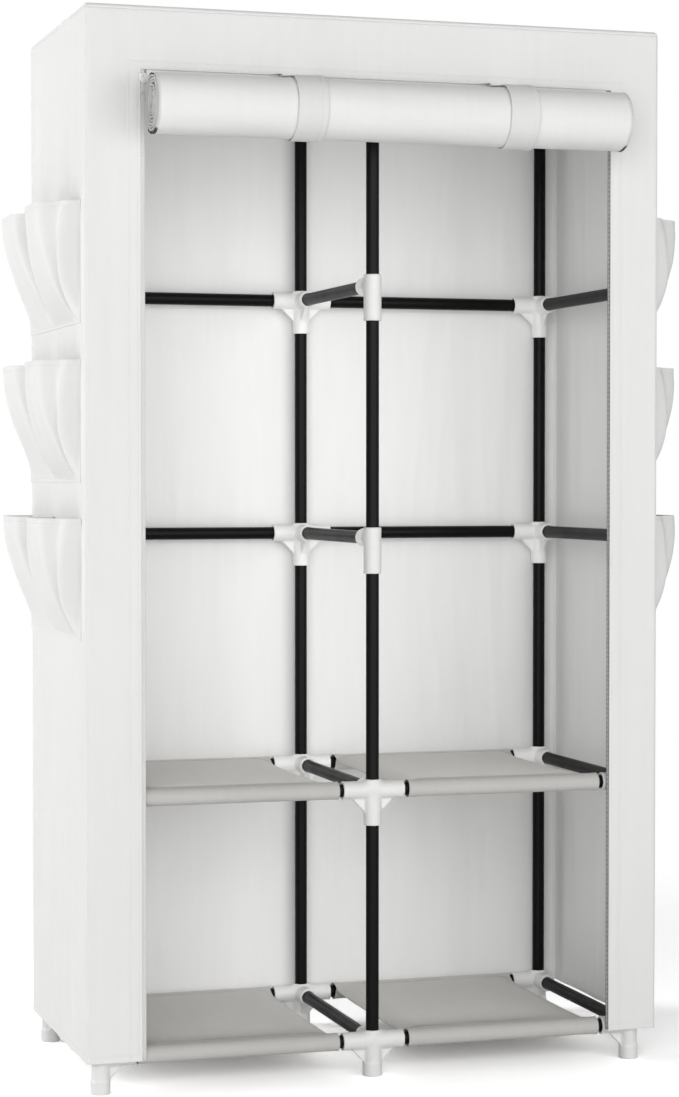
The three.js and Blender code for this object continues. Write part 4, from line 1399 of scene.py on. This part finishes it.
@dataclass
class Zips(Assembly):
    """The jambs' half of each zip, with moulded teeth, and its slider with a hanging pull."""

    tape_width: float = 22.0 * MM
    tape: float = 0.8 * MM
    behind: float = 1.3 * MM
    chain_depth: float = 2.4 * MM
    tooth_pitch: float = 2.0 * MM
    tooth_height: float = 1.15 * MM
    plate: float = 2.0 * MM
    clearance: float = 0.3 * MM
    neck: float = 2.2 * MM
    slider_width: float = 12.0 * MM
    slider_length: float = 14.0 * MM
    taper: float = 3.0 * MM
    pull_width: float = 6.0 * MM
    pull_length: float = 26.0 * MM
    pull_thickness: float = 1.2 * MM
    top_gap: float = 6.0 * MM

    def tooth(self) -> Skin:
        """One tooth: an eight-cornered outline in X and Y, thicker at its head, carried up its height."""
        outline = np.array([[-3.2, -0.8], [0.1, -0.8], [0.6, -1.1], [1.2, -0.6],
                            [1.2, 0.6], [0.6, 1.1], [0.1, 0.8], [-3.2, 0.8]]) * MM
        half = self.tooth_height / 2
        return capped(grid(stacked([(outline, -half), (outline, half)]), ring=True), len(outline))

    def chain(self, origins: Array, outward: Values, along: Values) -> Skin:
        """Teeth at given places, which stick out one way and follow each other another way."""
        outward, along = (np.broadcast_to(np.array(way, float), origins.shape) for way in (outward, along))
        return repeated(self.tooth(), origins, np.stack([outward, np.cross(along, outward), along], axis=1))

    @property
    def chain_y(self) -> float:
        """The plane through the middle of the jambs' teeth."""
        return self.layout.front + self.behind + self.chain_depth / 2

    def tape_skin(self, side: int) -> Skin:
        """The woven tape behind one jamb, with a raised edge that carries the teeth."""
        lay = self.layout
        across = np.array([-1.0, -0.4, 0.4, 1.2, 1.8, 3, 6, 10, 15, 19, 21]) * MM + 0.2 * MM
        up = stations(lay.hem, lay.opening_top + lay.SEAM_OVERLAP, 12 * MM)
        a, z = np.meshgrid(across, up)
        bead = 0.35 * MM * groove(a - 0.6 * MM, 0.9 * MM)
        points = np.stack([lay.edge(side) + side * a, self.chain_y - self.tape / 2 - bead, z], axis=-1)
        return grid(points, np.stack([a, z], axis=-1), turned=side == LEFT)

    @property
    def slider_inner(self) -> float:
        """How far the slider reaches past the opening's edge: over the teeth, its play and the neck."""
        return self.layout.CHAIN_PROUD + self.clearance + self.neck

    def shield(self) -> Skin:
        """One of the slider's two plates, with one of its lower corners cut off."""
        half, inner, outer = self.slider_length / 2, self.slider_inner, self.slider_inner - self.slider_width
        corners = np.array([[inner, -half], [inner, half], [outer, half], [outer, self.taper - half],
                            [outer + self.taper, -half]])
        return prism(rounded_outline(corners, 1.4 * MM, 4), self.plate, 0.5 * MM)

    def neck_block(self) -> Skin:
        """The block that joins the two plates beside the teeth."""
        half, inner, outer = self.slider_length / 2 - 1 * MM, self.slider_inner, self.slider_inner - self.neck
        corners = np.array([[outer, -half], [inner, -half], [inner, half], [outer, half]])
        return prism(rounded_outline(corners, 0.6 * MM, 3), 6 * MM, 0.4 * MM)

    def pull(self) -> Skin:
        """The pull: a tapered plate with a bevelled rim and a round eye near its wide end."""
        eye = np.array([0.0, 3.2 * MM])
        wide, flat = self.pull_width / 2, self.pull_thickness / 2
        narrow, bevel, long = wide - 0.8 * MM, flat - 0.3 * MM, self.pull_length
        corners = np.array([[-wide, 0.0], [wide, 0.0], [narrow, long], [-narrow, long]])
        tab = rounded_outline(corners, 2.0 * MM, 8)
        around = tab - eye
        hole = eye + unit(around) * 1.5 * MM
        face = eye + around * 0.96
        return closed(stacked([(tab, -bevel), (face, -flat), (hole, -flat), (hole, flat), (face, flat),
                               (tab, bevel)]))

    def slider_skin(self, side: int) -> Skin:
        """Two plates, the neck between them, the loop on the front and the pull that hangs from it.

        They are made for the left zip about the opening's edge, and mirrored for the right one.
        """
        lay = self.layout
        front_face = lay.front - self.clearance
        back_face = lay.front + self.behind + self.clearance + self.chain_depth
        middle = self.slider_inner - self.slider_width / 2
        height = lay.opening_top - self.top_gap - self.slider_length / 2

        def upright(skin: Skin, depth: float, x: float = 0.0, z: float = 0.0) -> Skin:
            """Turns a plate made in X and Y so that it faces the front, and puts it on its zip."""
            along, up, out = skin.points.T
            points = np.stack([along + x, depth - out, up + z], axis=1)
            return Skin(points, skin.faces).placed((-side, 1, 1), (lay.edge(side), 0, height))

        turn = np.arange(8) * math.pi / 4
        wire = np.column_stack([np.cos(turn) * 0.7 + 2.3, np.sin(turn) * 0.7]) * MM
        loop_at = (lay.edge(side) - side * middle, front_face - self.plate + 0.9 * MM, height + 1.2 * MM)
        return joined([
            upright(self.shield(), front_face - self.plate / 2),
            upright(self.shield(), back_face + self.plate / 2),
            upright(self.neck_block(), (front_face + back_face) / 2),
            upright(self.pull(), front_face - self.plate - self.pull_thickness / 2 - 0.1 * MM, middle,
                    self.pull_width / 2 - self.pull_length),
            lathe(wire, 0, (0, 0, 0), 16).placed((1, 1, 1), loop_at),
        ])

    def build(self) -> None:
        """Builds both jamb halves and both sliders."""
        lay = self.layout
        z = np.arange(lay.hem + 3 * MM, lay.opening_top + 4 * MM, self.tooth_pitch)
        # The right jamb's teeth take the dark teeth material: painted shade on teeth as pale as the left
        # ones.
        for side, finish, body in ((LEFT, self.finishes.coil, Body.LEFT_SLIDER),
                                   (RIGHT, self.finishes.teeth, Body.RIGHT_SLIDER)):
            name = SIDES[side]
            tape = make_piece(f"woven_zip_tape_{name}", self.tape_skin(side), self.finishes.tape,
                              [f"zip_tape_{name}"], self.tape)
            places = np.column_stack([np.full_like(z, lay.edge(side)), np.full_like(z, self.chain_y), z])
            chain = self.chain(places, (-side, 0, 0), (0, 0, 1))
            teeth = make_piece(f"zip_teeth_{name}", chain, finish, smooth=False)
            lay.opening_top + lay.SEAM_OVERLAP - lay.hem
            make_piece(f"slider_with_pull_{name}", self.slider_skin(side), self.finishes.metal,
                       [f"zip_slider_{name}"], body=body)


def rounded_outline(corners: Array, radius: float, steps: int) -> Array:
    """Rounds the corners of a convex outline that runs anticlockwise.

    Each corner becomes an arc that touches both of its sides, with steps points.
    """
    points = []
    for index in range(len(corners)):
        corner = corners[index]
        back = unit(corners[index - 1] - corner)
        ahead = unit(corners[(index + 1) % len(corners)] - corner)
        half = math.acos(float(np.clip(back @ ahead, -1, 1))) / 2
        centre = corner + unit(back + ahead) * radius / math.sin(half)
        first = corner + back * radius / math.tan(half) - centre
        last = corner + ahead * radius / math.tan(half) - centre
        share = np.linspace(0, 1, steps)[:, None]
        points.append(centre + unit(first * (1 - share) + last * share) * radius)
    return np.concatenate(points)


# Rolled door and straps


@dataclass
class Door(Assembly):
    """The door, wound up under the header, and the leader that hangs it behind the header's edge."""

    zips: Zips
    radius: float = 47.2 * MM
    pitch: float = 4.6 * MM
    turns: int = 8
    cloth: float = 1.0 * MM
    stand_off: float = 5.3 * MM
    below_header: float = 55.0 * MM
    overhang: float = 1.0 * MM
    tail: float = 12.0 * MM
    leader_inset: float = 4.1 * MM
    leader_behind: float = 3.2 * MM
    travel: float = 1.37
    keep: float = 0.08
    steps: int = 44
    strap_places: tuple[float, ...] = ()
    strap_ease: float = 5.0 * MM
    gape_depth: float = 7.0 * MM
    # Arcs of the outermost turn, in turns, where the roll's teeth are painted dark as shade.
    painted_shade_arcs: tuple[tuple[float, float], ...] = ((0.12, 0.3), (0.72, 0.95))

    @property
    def axis(self) -> Array:
        """The roll's axis in Y and Z."""
        return np.array([self.layout.front - self.stand_off - self.radius,
                         self.layout.opening_top - self.below_header])

    @property
    def leader_y(self) -> float:
        """The plane of the hanging cloth behind the header."""
        return self.layout.front + self.leader_behind

    def touch(self, point: Values, radius: float, turn: int) -> float:
        """The angle at which a line from a point touches a circle about the roll's axis."""
        away = np.array(point) - self.axis
        return math.atan2(away[1], away[0]) + turn * math.acos(radius / math.hypot(*away))

    def winding(self) -> tuple[Array, Array, Array]:
        """The wound path in Y and Z, its outward directions, and how far along it each point is.

        The radius falls evenly with the angle, but for a slight ripple, from where the leader touches.
        """
        outer = self.radius - self.cloth / 2
        start = self.touch((self.leader_y, self.layout.opening_top - self.tail), outer, -1)
        turn = np.linspace(0, self.turns, self.turns * self.steps + 1)
        angle = start - math.tau * turn
        radius = outer - self.pitch * turn
        uneven = 0.45 * MM * np.sin(2 * angle + 1.3 * turn) * smooth_step(turn, 0.1, 1.0)
        outward = np.stack([np.cos(angle), np.sin(angle)], axis=1)
        path = self.axis + outward * (radius + uneven)[:, None]
        return path, outward, lengths_along(path)

    def end_shift(self, far: Array) -> Array:
        """How far each part of the winding lies in from the roll's end: the turns don't end quite level."""
        return (0.9 + 0.8 * np.sin(far / 0.11) + 0.6 * np.sin(far / 0.047 + 1.0)) * MM

    def roll_skin(self) -> Skin:
        """The wound cloth, whose ends wander a little and whose face has soft ripples."""
        lay = self.layout
        path, outward, far = self.winding()
        low, high = lay.opening_left - self.overhang, lay.opening_right - self.overhang
        share = np.concatenate([[0, 0.001, 0.003, 0.008, 0.016, 0.026], np.linspace(0.04, 0.96, 90),
                                [0.974, 0.984, 0.992, 0.997, 0.999, 1]])
        shift = self.end_shift(far)[:, None]
        x = (low + shift) + (high - low - 2 * shift) * share
        draw = np.random.default_rng(5)
        lift = np.zeros_like(x)
        for _ in range(10):
            run_x, run_s = draw.uniform(0.06, 0.5), draw.uniform(0.03, 0.14)
            lift += np.cos(math.tau * (x / run_x + far[:, None] / run_s) + draw.uniform(0, 6.3)) / 10
        edge = np.minimum(x - low, high - x)
        tape = groove(edge - 21 * MM, 0.9 * MM) * 0.25 * MM + groove(edge - 3 * MM, 0.9 * MM) * 0.2 * MM
        squeezed = sum(groove(x - place + self.strap_ease, self.strap_ease) for place in self.strap_places)
        lift = lift * 0.8 * MM - tape + 0.9 * MM * squeezed
        points = np.empty((*x.shape, 3))
        points[..., 0] = x
        points[..., 1:] = path[:, None, :] + outward[:, None, :] * lift[..., None]
        return grid(points, np.stack([x, np.broadcast_to(far[:, None], x.shape)], axis=-1))

    def roll_teeth(self, painted_shade: bool) -> Skin:
        """The door's half of both zips, whose teeth follow the winding at both ends of the roll.

        Args:
            painted_shade: True for the teeth on the outermost turn that are painted dark as shade,
            False for the pale ones.

        Returns:
            The teeth at both ends.
        """
        path, outward, far = self.winding()
        at = np.arange(0, far[-1], self.zips.tooth_pitch)
        turn = np.interp(at, far, np.linspace(0, self.turns, len(far)))
        in_arc = np.any([(turn > low) & (turn < high) for low, high in self.painted_shade_arcs], axis=0)
        at = at[in_arc == painted_shade]
        out = unit(np.column_stack([np.zeros_like(at), sampled(at, far, outward)]))
        inset = self.end_shift(at) - 0.1 * MM
        rows = []
        for side in SIDES:
            end = self.layout.edge(side) - self.overhang
            places = np.column_stack([end - side * inset, sampled(at, far, path)])
            rows.append(self.zips.chain(places, (side, 0, 0), np.cross((side, 0, 0), out)))
        return joined(rows)

    def leader_skin(self) -> tuple[Skin, float, float]:
        """The cloth from behind the header to the roll; its pattern is laid out for the door let down.

        Returns:
            The skin, and the heights at which it starts and stops to follow the roll.
        """
        lay = self.layout
        path, _, _ = self.winding()
        upper = lay.opening_top - self.tail
        ends = np.array([[self.leader_y, lay.opening_top + self.tail], [self.leader_y, upper], path[0]])
        z = np.concatenate([np.linspace(ends[0, 1], upper, 6)[:-1], np.linspace(upper, ends[2, 1], 84)])
        y = np.interp(-z, -ends[:, 1], ends[:, 0])
        left, right = lay.opening_left + self.leader_inset, lay.opening_right - self.leader_inset
        edge = np.array([0, 0.4, 1, 3, 5.2, 6, 6.8, 12, 19, 20.4, 21.2, 22, 24]) * MM
        x = between(left, right, 5 * MM, edge, edge)
        follow = smooth_step(-z, -upper, -ends[2, 1])
        hung = z - follow * self.travel
        x, down = np.meshgrid(x, hung)
        inward = np.minimum(x - left, right - x)
        band = 0.3 * MM * (1 - smooth_step(inward, 20.4 * MM, 21.6 * MM))
        band = band - 0.25 * MM * groove(inward - 6 * MM, 0.8 * MM)
        folds = Creases(31, 90, 0.7 * MM, mm(8, 26), (0.1, 0.5)).height(x, down)
        fade = smooth_step(inward, 0, 30 * MM) * follow[:, None] * (1 - follow[:, None]) * 4
        gape = sum(np.clip(1 - np.abs(x - place) / (20 * MM), 0, 1) for place in self.strap_places)
        gape = gape * groove(z[:, None] - lay.opening_top, 9 * MM)
        depth = y[:, None] - band - 0.5 * folds * fade + self.gape_depth * gape
        points = np.stack([x, depth, np.broadcast_to(z[:, None], x.shape)], axis=-1)
        return grid(points, np.stack([x, down], axis=-1), turned=True), upper, ends[2, 1]

    def build(self) -> None:
        """Builds roll, teeth and leader."""
        lay, cloth = self.layout, self.finishes.cover
        anchor = (0.0, lay.front - self.stand_off, 0.0)
        roll = make_piece("rolled_door", self.roll_skin(), cloth, ["door_roll"], self.cloth, 0.0,
                          body=Body.DOOR)
        # The second set of roll teeth is painted dark as shade, on arcs of the outermost turn; the rest stay
        # pale.
        teeth, painted_shade = (
            make_piece(name, self.roll_teeth(dark), finish, body=Body.DOOR, smooth=False)
            for name, dark, finish in (("rolled_door_zip_teeth", False, self.finishes.coil),
                                       ("rolled_door_teeth_painted_shade", True, self.finishes.teeth))
        )
        for piece in (roll, teeth, painted_shade):
            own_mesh(piece)
        _, _, far = self.winding()
        width = lay.opening_right - lay.opening_left
        skin, start, end = self.leader_skin()
        leader = make_object("door_leader", skin, cloth)
        thicken(leader, self.cloth * 0.8, 0.0)
        self.leader_y
        self.leader_y
        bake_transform(leader)
        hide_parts("door_roll")
        width - 2 * self.leader_inset
        float(lay.opening_top + self.tail - end)


@dataclass
class Straps(Assembly):
    """Two hemmed straps that hold the roll: a front part over it and a rear part up behind it."""

    door: Door
    width: float = 46.0 * MM
    cloth: float = 1.0 * MM
    hems: tuple[float, float] = mm(3.5, 9.0)
    hems_proud: tuple[float, float] = mm(0.1, 0.85)
    centres: tuple[float, float] = (-0.1420, 0.1915)
    lap: float = math.radians(24)
    front_plane: float = 1.8 * MM
    rear_plane: float = 4.6 * MM
    lap_start: float = 0.55
    lap_full: float = 0.15
    lap_lift: float = 1.15 * MM

    @property
    def radius(self) -> float:
        """The radius of the strap's middle plane where it lies on the roll."""
        return self.door.radius + 0.3 * MM + self.cloth / 2

    def round_roll(self, turn: Array, radius: float | Array) -> Array:
        """Points at angles about the roll's axis, all at one radius or each at its own."""
        return self.door.axis + (np.stack([np.cos(turn), np.sin(turn)]) * radius).T

    def front_path(self) -> Array:
        """From behind the header round its edge, down the roll's front and under it, over the rear part."""
        top = self.layout.opening_top
        plane = self.layout.front + self.front_plane
        corner = (plane, top - 1.3 * MM)
        foot = 1.5 * math.pi
        turn = np.linspace(self.door.touch(corner, self.radius, 1), foot + self.lap, 60)
        lifted = smooth_step(turn, foot - self.lap_start, foot - self.lap_full) * self.lap_lift
        wound = self.round_roll(turn, self.radius + lifted)
        lead = np.array([[plane, top + self.door.tail], [plane, top + 4 * MM], corner])
        return np.concatenate([corner_cut(np.concatenate([lead, wound[:1]]), 3), wound[1:]])

    def rear_path(self) -> Array:
        """From under the roll up its back and on behind the header."""
        top, tail = self.layout.opening_top, self.door.tail
        plane = self.layout.front + self.rear_plane
        leaves = self.door.touch((plane, top - tail), self.radius, -1) + math.tau
        wound = self.round_roll(np.linspace(1.5 * math.pi - 0.2, leaves, 34), self.radius)
        upper = np.array([[plane, top - tail], [plane, top], [plane, top + tail]])
        return np.concatenate([wound[:-1], corner_cut(np.concatenate([wound[-1:], upper]), 3)])

    def ribbon(self, path: Array, centre: float, seed: int) -> Skin:
        """Carries the strap's width along a path in Y and Z; both edges are hemmed, the right one wider."""
        tangent = unit(np.gradient(path, axis=0))
        outward = np.stack([tangent[:, 1], -tangent[:, 0]], axis=1)
        half = self.width / 2
        fine = np.array([0, 0.3, 0.9, 1.9, 2.9, 4.1, 6, 7.6, 8.2, 8.8, 9.4, 10.2, 12]) * MM
        across = between(-half, half, 3 * MM, fine, fine)
        inward = half - np.abs(across)
        hem = np.where(across < 0, *self.hems)
        proud = np.where(across < 0, *self.hems_proud)
        relief = proud * (1 - smooth_step(inward, hem - 0.7 * MM, hem + 0.5 * MM))
        relief = relief - 0.25 * MM * groove(inward - hem + 1.4 * MM, 0.6 * MM)
        relief = relief - np.where(across < 0, 0.7 * MM, 0.3 * MM) * groove(inward, 0.6 * MM)
        far = lengths_along(path)
        sway = 0.5 * MM * np.sin(far / 0.021 + seed)[:, None] * (across / half)[None] ** 2
        points = np.empty((len(path), len(across), 3))
        points[..., 0] = centre + across + 0.8 * MM * np.sin(far / 0.05 + seed)[:, None]
        points[..., 1:] = path[:, None, :] + outward[:, None, :] * (relief[None] + sway)[..., None]
        x, s = np.meshgrid(across, far)
        return grid(points, np.stack([x, s], axis=-1))

    def stitches(self, skin: Skin, columns: int) -> Skin:
        """Rows of stitches along both folded edges, on the outer face."""
        table = skin.points.reshape(-1, columns, 3)
        rows = []
        for column in (3, columns - 8):
            path = table[:, column]
            across = table[:, column + 1] - table[:, column]
            outward = unit(np.cross(across, np.gradient(path, axis=0)))
            rows.append(Stitching().along(path + outward * 0.5 * MM, outward))
        return joined(rows)

    def build(self) -> None:
        """Builds both straps, each in a front and a rear part, with their stitches."""
        front = (self.front_path(), self.layout.front + 0.6 * MM, 0.05)
        rear = (self.rear_path(), self.layout.front + self.rear_plane + 0.3 * MM, 0.012)
        for index, (centre, name) in enumerate(zip(self.centres, SIDES.values())):
            for part, (path, anchor, keep) in (("front", front), ("rear", rear)):
                skin = self.ribbon(path, centre, index + 1)
                stitches = self.stitches(skin, len(skin.points) // len(path))
                # The straps' cloth is the darker copy of the cover cloth: painted shade.
                strap = make_piece(f"strap_{part}_part_{name}", skin, self.finishes.band,
                                   [f"strap_{name}"], self.cloth * 0.8, 0.0)
                sewn = make_piece(f"strap_{part}_stitches_{name}", stitches, self.finishes.thread)
                for piece in (strap, sewn):
                    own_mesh(piece)


# Outside pockets


@dataclass
class Pockets(Assembly):
    """Rows of two pleated pockets: one strip a row, sewn down at its foot, its ends and in its middle."""

    cover: Cover
    seams: tuple[float, ...] = (0.677, 0.914, 1.151)
    height: float = 183.0 * MM
    front_margin: float = 33.0 * MM
    rear_margin: float = 1.6 * MM
    depths: tuple[float, float] = mm(57.0, 72.0)
    stand_off: float = 1.0 * MM
    cloth: float = 0.9 * MM
    foot_band: float = 0.03
    end_band: float = 0.03
    hem: float = 9.0 * MM
    hem_proud: float = 0.5 * MM
    rim_stitches: float = 1.6 * MM
    foot_stitches: float = 5.0 * MM
    flatness: tuple[float, float] = (5.0, 16.0)
    front_rise: float = 2.2
    rear_rise: float = 1.3
    pleat_place: float = 0.14
    pleat_depth: float = 19.0 * MM
    pleat_width: tuple[float, float] = (0.018, 0.08)
    soft: float = 2.0 * MM
    fullness: float = 1.32
    columns: int = 150
    rows: int = 62

    def reach(self, across: Array, up: Array, depth: float) -> Array:
        """How far the strip bulges from the wall.

        Across a pocket: 1 - |2u - 1| ^ flatness, which grows towards the foot. Up the front pocket:
        1 - (1 - share) ^ front rise; up the rear one: sin(quarter turn × share) ^ rear rise. A pleat near
        the front edge takes its depth off, in a bell that widens upwards, down to the wall at the foot. A
        narrow band at the foot and at both ends stays flat.
        """
        pocket = np.clip(np.floor(across), 0, 1)
        u = np.clip((across - pocket - (1 - pocket) * self.end_band) / (1 - self.end_band), 0, 1)
        above = np.clip((up - self.foot_band) / (1 - self.foot_band), 0, 1)
        flatness = self.flatness[0] + (self.flatness[1] - self.flatness[0]) * (1 - above) ** 1.5
        crown = 1 - np.abs(2 * u - 1) ** flatness
        front_rise = 1 - (1 - above) ** self.front_rise
        rise = np.where(pocket < 0.5, front_rise, np.sin(above * math.pi / 2) ** self.rear_rise)
        width = self.pleat_width[0] + (self.pleat_width[1] - self.pleat_width[0]) * above
        full = (depth - self.stand_off) * crown * rise
        left = full - self.pleat_depth * np.exp(-((u - self.pleat_place) / width) ** 2)
        return np.minimum((left + np.hypot(left, self.soft)) / 2, full)

    def strip(self, side: int, row: int) -> tuple[Skin, Array]:
        """One row's cloth and the table of its points, seen from outside."""
        lay = self.layout
        front_seam, rear_seam = lay.front + self.front_margin, lay.rear - self.rear_margin
        pocket = (rear_seam - front_seam) / 2
        u = np.linspace(0, 1, self.columns // 2 + 1)
        u = np.clip(u - 0.09 * np.sin(math.tau * u) / math.tau * 6, 0, 1)
        across = np.concatenate([u, 1 + u[1:]])
        up = np.concatenate([[0, 0.004, 0.012, 0.03, 0.05], np.linspace(0.065, 0.93, self.rows - 13),
                             [0.945, 0.951, 0.957, 0.965, 0.98, 0.992, 0.998, 1.0]])
        a, h = np.meshgrid(across, up)
        depth = self.depths[0] if side == LEFT else self.depths[1]
        bulge = self.reach(a, h, depth)
        z = h * self.height
        from_rim = self.height - z
        band = self.hem_proud * (1 - smooth_step(from_rim, self.hem - 0.7 * MM, self.hem + 0.7 * MM))
        line = 0.3 * MM * groove(from_rim - self.hem + self.rim_stitches, 0.8 * MM)
        line = line + 0.3 * MM * groove(z - self.foot_stitches, 0.9 * MM)
        creases = Creases(60 + 10 * row + side, 26, 1.1 * MM, mm(7, 20), (0.02, 0.09), 0.25, 1.4 * MM,
                          (0.0, 2 * pocket), (0.0, self.height))
        soft = creases.height(a * pocket, z) * smooth_step(bulge, 0.05 * depth, 0.5 * depth)
        out = self.stand_off + np.maximum(bulge + band - line + soft, 0.0)
        lift = self.cover.panel_lift(SIDES[side], front_seam + a * pocket, self.seams[row] + z)
        out = np.minimum(out + lift, depth + self.stand_off)
        wall = lay.left if side == LEFT else lay.right
        points = np.stack([wall + side * out, front_seam + a * pocket, self.seams[row] + z], axis=-1)
        return grid(points, np.stack([a * pocket, z], axis=-1), turned=side == LEFT), points

    def sewing(self, side: int, points: Array) -> Skin:
        """Stitches along the foot, both ends, the seam between the pockets, and the hem of the rim."""
        outward = (float(side), 0.0, 0.0)
        height = points[:, 0, 2] - points[0, 0, 2]
        foot = int(np.argmin(np.abs(height - self.foot_stitches)))
        rim = int(np.argmin(np.abs(self.height - height - self.hem + self.rim_stitches)))
        middle = points.shape[1] // 2
        rows = [Stitching().along(points[foot], outward)]
        slope = np.gradient(points[rim], axis=0)
        across = np.cross(slope, np.array([0.0, 0.0, 1.0])) * -side
        across = across * np.sign(across[:, :1] * side + 1e-12)
        rows.append(Stitching().along(points[rim], unit(across)))
        for column in (2, middle, points.shape[1] - 3):
            rows.append(Stitching().along(points[foot:, column], outward))
        return joined(rows)

    def build(self) -> None:
        """Builds the three rows on each side."""
        lay = self.layout
        length = lay.rear - lay.front - self.front_margin - self.rear_margin
        for side, side_name in SIDES.items():
            for row, row_name in enumerate(("bottom", "middle", "top")):
                skin, points = self.strip(side, row)
                name = f"{side_name}_{row_name}"
                piece = make_piece(f"cloth_pockets_{name}", skin, self.finishes.cover,
                                   [f"pocket_row_{name}"], self.cloth)
                sewn = make_piece(f"pocket_stitches_{name}", self.sewing(side, points), self.finishes.thread)
                length * self.fullness
                self.height + self.hem


# Studio


@dataclass
class Studio:
    """Pale floor, soft lights and the camera."""

    eye: tuple[float, float, float] = (-1.26553, -4.04860, 0.92395)
    yaw: float = 0.2980
    pitch: float = -0.0272
    focal_pixels: float = 2672.875
    picture_height: float = 1097.0
    sensor: float = 36.0

    def camera(self) -> None:
        """Sets the camera at the photograph's viewpoint."""
        data = bpy.data.cameras.new("camera")
        data.sensor_width = self.sensor
        data.lens = self.sensor * self.focal_pixels / self.picture_height
        data.clip_end = 50
        made = bpy.data.objects.new("camera", data)
        made.location = self.eye
        made.rotation_euler = (math.pi / 2 + self.pitch, 0, -self.yaw)
        bpy.context.scene.collection.objects.link(made)
        bpy.context.scene.camera = made

    def world(self, strength: float) -> None:
        """White for the camera and for reflections, and a softer white that lights the object."""
        world = bpy.data.worlds.new("studio")
        world.use_nodes = True
        g = Graph(world.node_tree, "ShaderNodeOutputWorld")
        camera, glossy, passed = (g.node("ShaderNodeLightPath", output=f"Is {kind} Ray")
                                  for kind in ("Camera", "Glossy", "Transmission"))
        lighting, seen = (g.node("ShaderNodeBackground", None, {"Color": (1, 1, 1, 1), "Strength": share})
                          for share in (strength, 1.0))
        rays = camera.larger(glossy).larger(passed)
        g.show(g.node("ShaderNodeMixShader", None, {0: rays, 1: lighting, 2: seen}))
        bpy.context.scene.world = world

    def floor(self, size: float = 14.0) -> None:
        """A white floor that keeps the shadow; the camera sees it a little brighter."""
        half = size / 2
        points = np.array([[[-half, -half, 0], [half, -half, 0]], [[-half, half, 0], [half, half, 0]]], float)
        r = Recipe("studio_floor")
        grain = r.noise(r.place("Object"), 40.0, 2.0)
        seen = r.node("ShaderNodeLightPath", output="Is Camera Ray")
        colour = r.mix(seen, r.mix(grain, tone("f6f6f6"), tone("f2f2f2")), (2.2, 2.2, 2.2, 1))
        r.set(Base_Color=colour, Roughness=0.9, Specular_IOR_Level=0.0)
        away = r.node("ShaderNodeVectorMath", {"operation": "LENGTH"}, {0: r.place("Object")}, "Value")
        far = r.node("ShaderNodeMapRange", {"interpolation_type": "SMOOTHSTEP"},
                     {"Value": away, "From Min": 0.8, "From Max": 2.2})
        white = r.node("ShaderNodeEmission", None, {"Color": (1, 1, 1, 1), "Strength": 1.0})
        paper = Wire(r, r.shader.outputs[0])
        r.show(r.node("ShaderNodeMixShader", None, {0: far * seen, 1: paper, 2: white}))
        made = make_object("studio_floor", grid(points), r.material, smooth=False)

    def lamp(
        self, name: str, place: Values, aim: Values, size: tuple[float, float],
        power: float, mirrored: bool = True,
    ) -> None:
        """A soft light of a width and a height that faces its aim; glossy surfaces mirror it or don't."""
        data = bpy.data.lights.new(name, "AREA")
        data.shape = "RECTANGLE"
        data.size, data.size_y = size
        data.energy = power
        made = bpy.data.objects.new(name, data)
        made.location = place
        away = np.array(place, float) - np.array(aim, float)
        flat = math.hypot(away[0], away[1])
        made.rotation_euler = (math.atan2(flat, away[2]), 0, math.atan2(away[0], -away[1]))
        made.visible_camera = False
        made.visible_glossy = mirrored
        bpy.context.scene.collection.objects.link(made)

    def build(self) -> None:
        """Sets up view, world, floor, lamps and camera."""
        bpy.context.scene.view_settings.view_transform = "Standard"
        self.world(0.2)
        self.floor()
        self.lamp("front", (-1.5, -4.8, 1.8), (0, 0, 0.85), (4.6, 3.8), 141)
        self.lamp("left", (-4.3, 1.5, 1.7), (-0.46, 0, 0.8), (2.4, 2.4), 119)
        self.lamp("right", (2.8, -4.8, 1.2), (0, 0, 0.85), (3.0, 3.0), 86)
        self.lamp("upper_fill", (0.0, -0.128, 0.98), (0.0, 0.25, 0.98), (0.7, 1.05), 1.2, False)
        self.lamp("lower_fill", (0.0, -0.128, 0.26), (0.0, 0.25, 0.28), (0.7, 0.28), 0.45, False)
        self.camera()


def main() -> None:
    """Builds the wardrobe and the studio."""
    finishes = Finishes()
    layout = Layout.from_frame()
    Studio().build()
    TubeFrame(layout, finishes).build()
    Connectors(layout, finishes).build()
    Shelves(layout, finishes).build()
    zips = Zips(layout, finishes)
    edges = tuple(centre - Straps.width / 2 for centre in Straps.centres)
    door = Door(layout, finishes, zips, strap_places=edges)
    cover = Cover(layout, finishes, strap_places=edges)
    cover.build()
    zips.build()
    door.build()
    Straps(layout, finishes, door).build()
    Pockets(layout, finishes, cover).build()


if __name__ == "__main__":
    main()
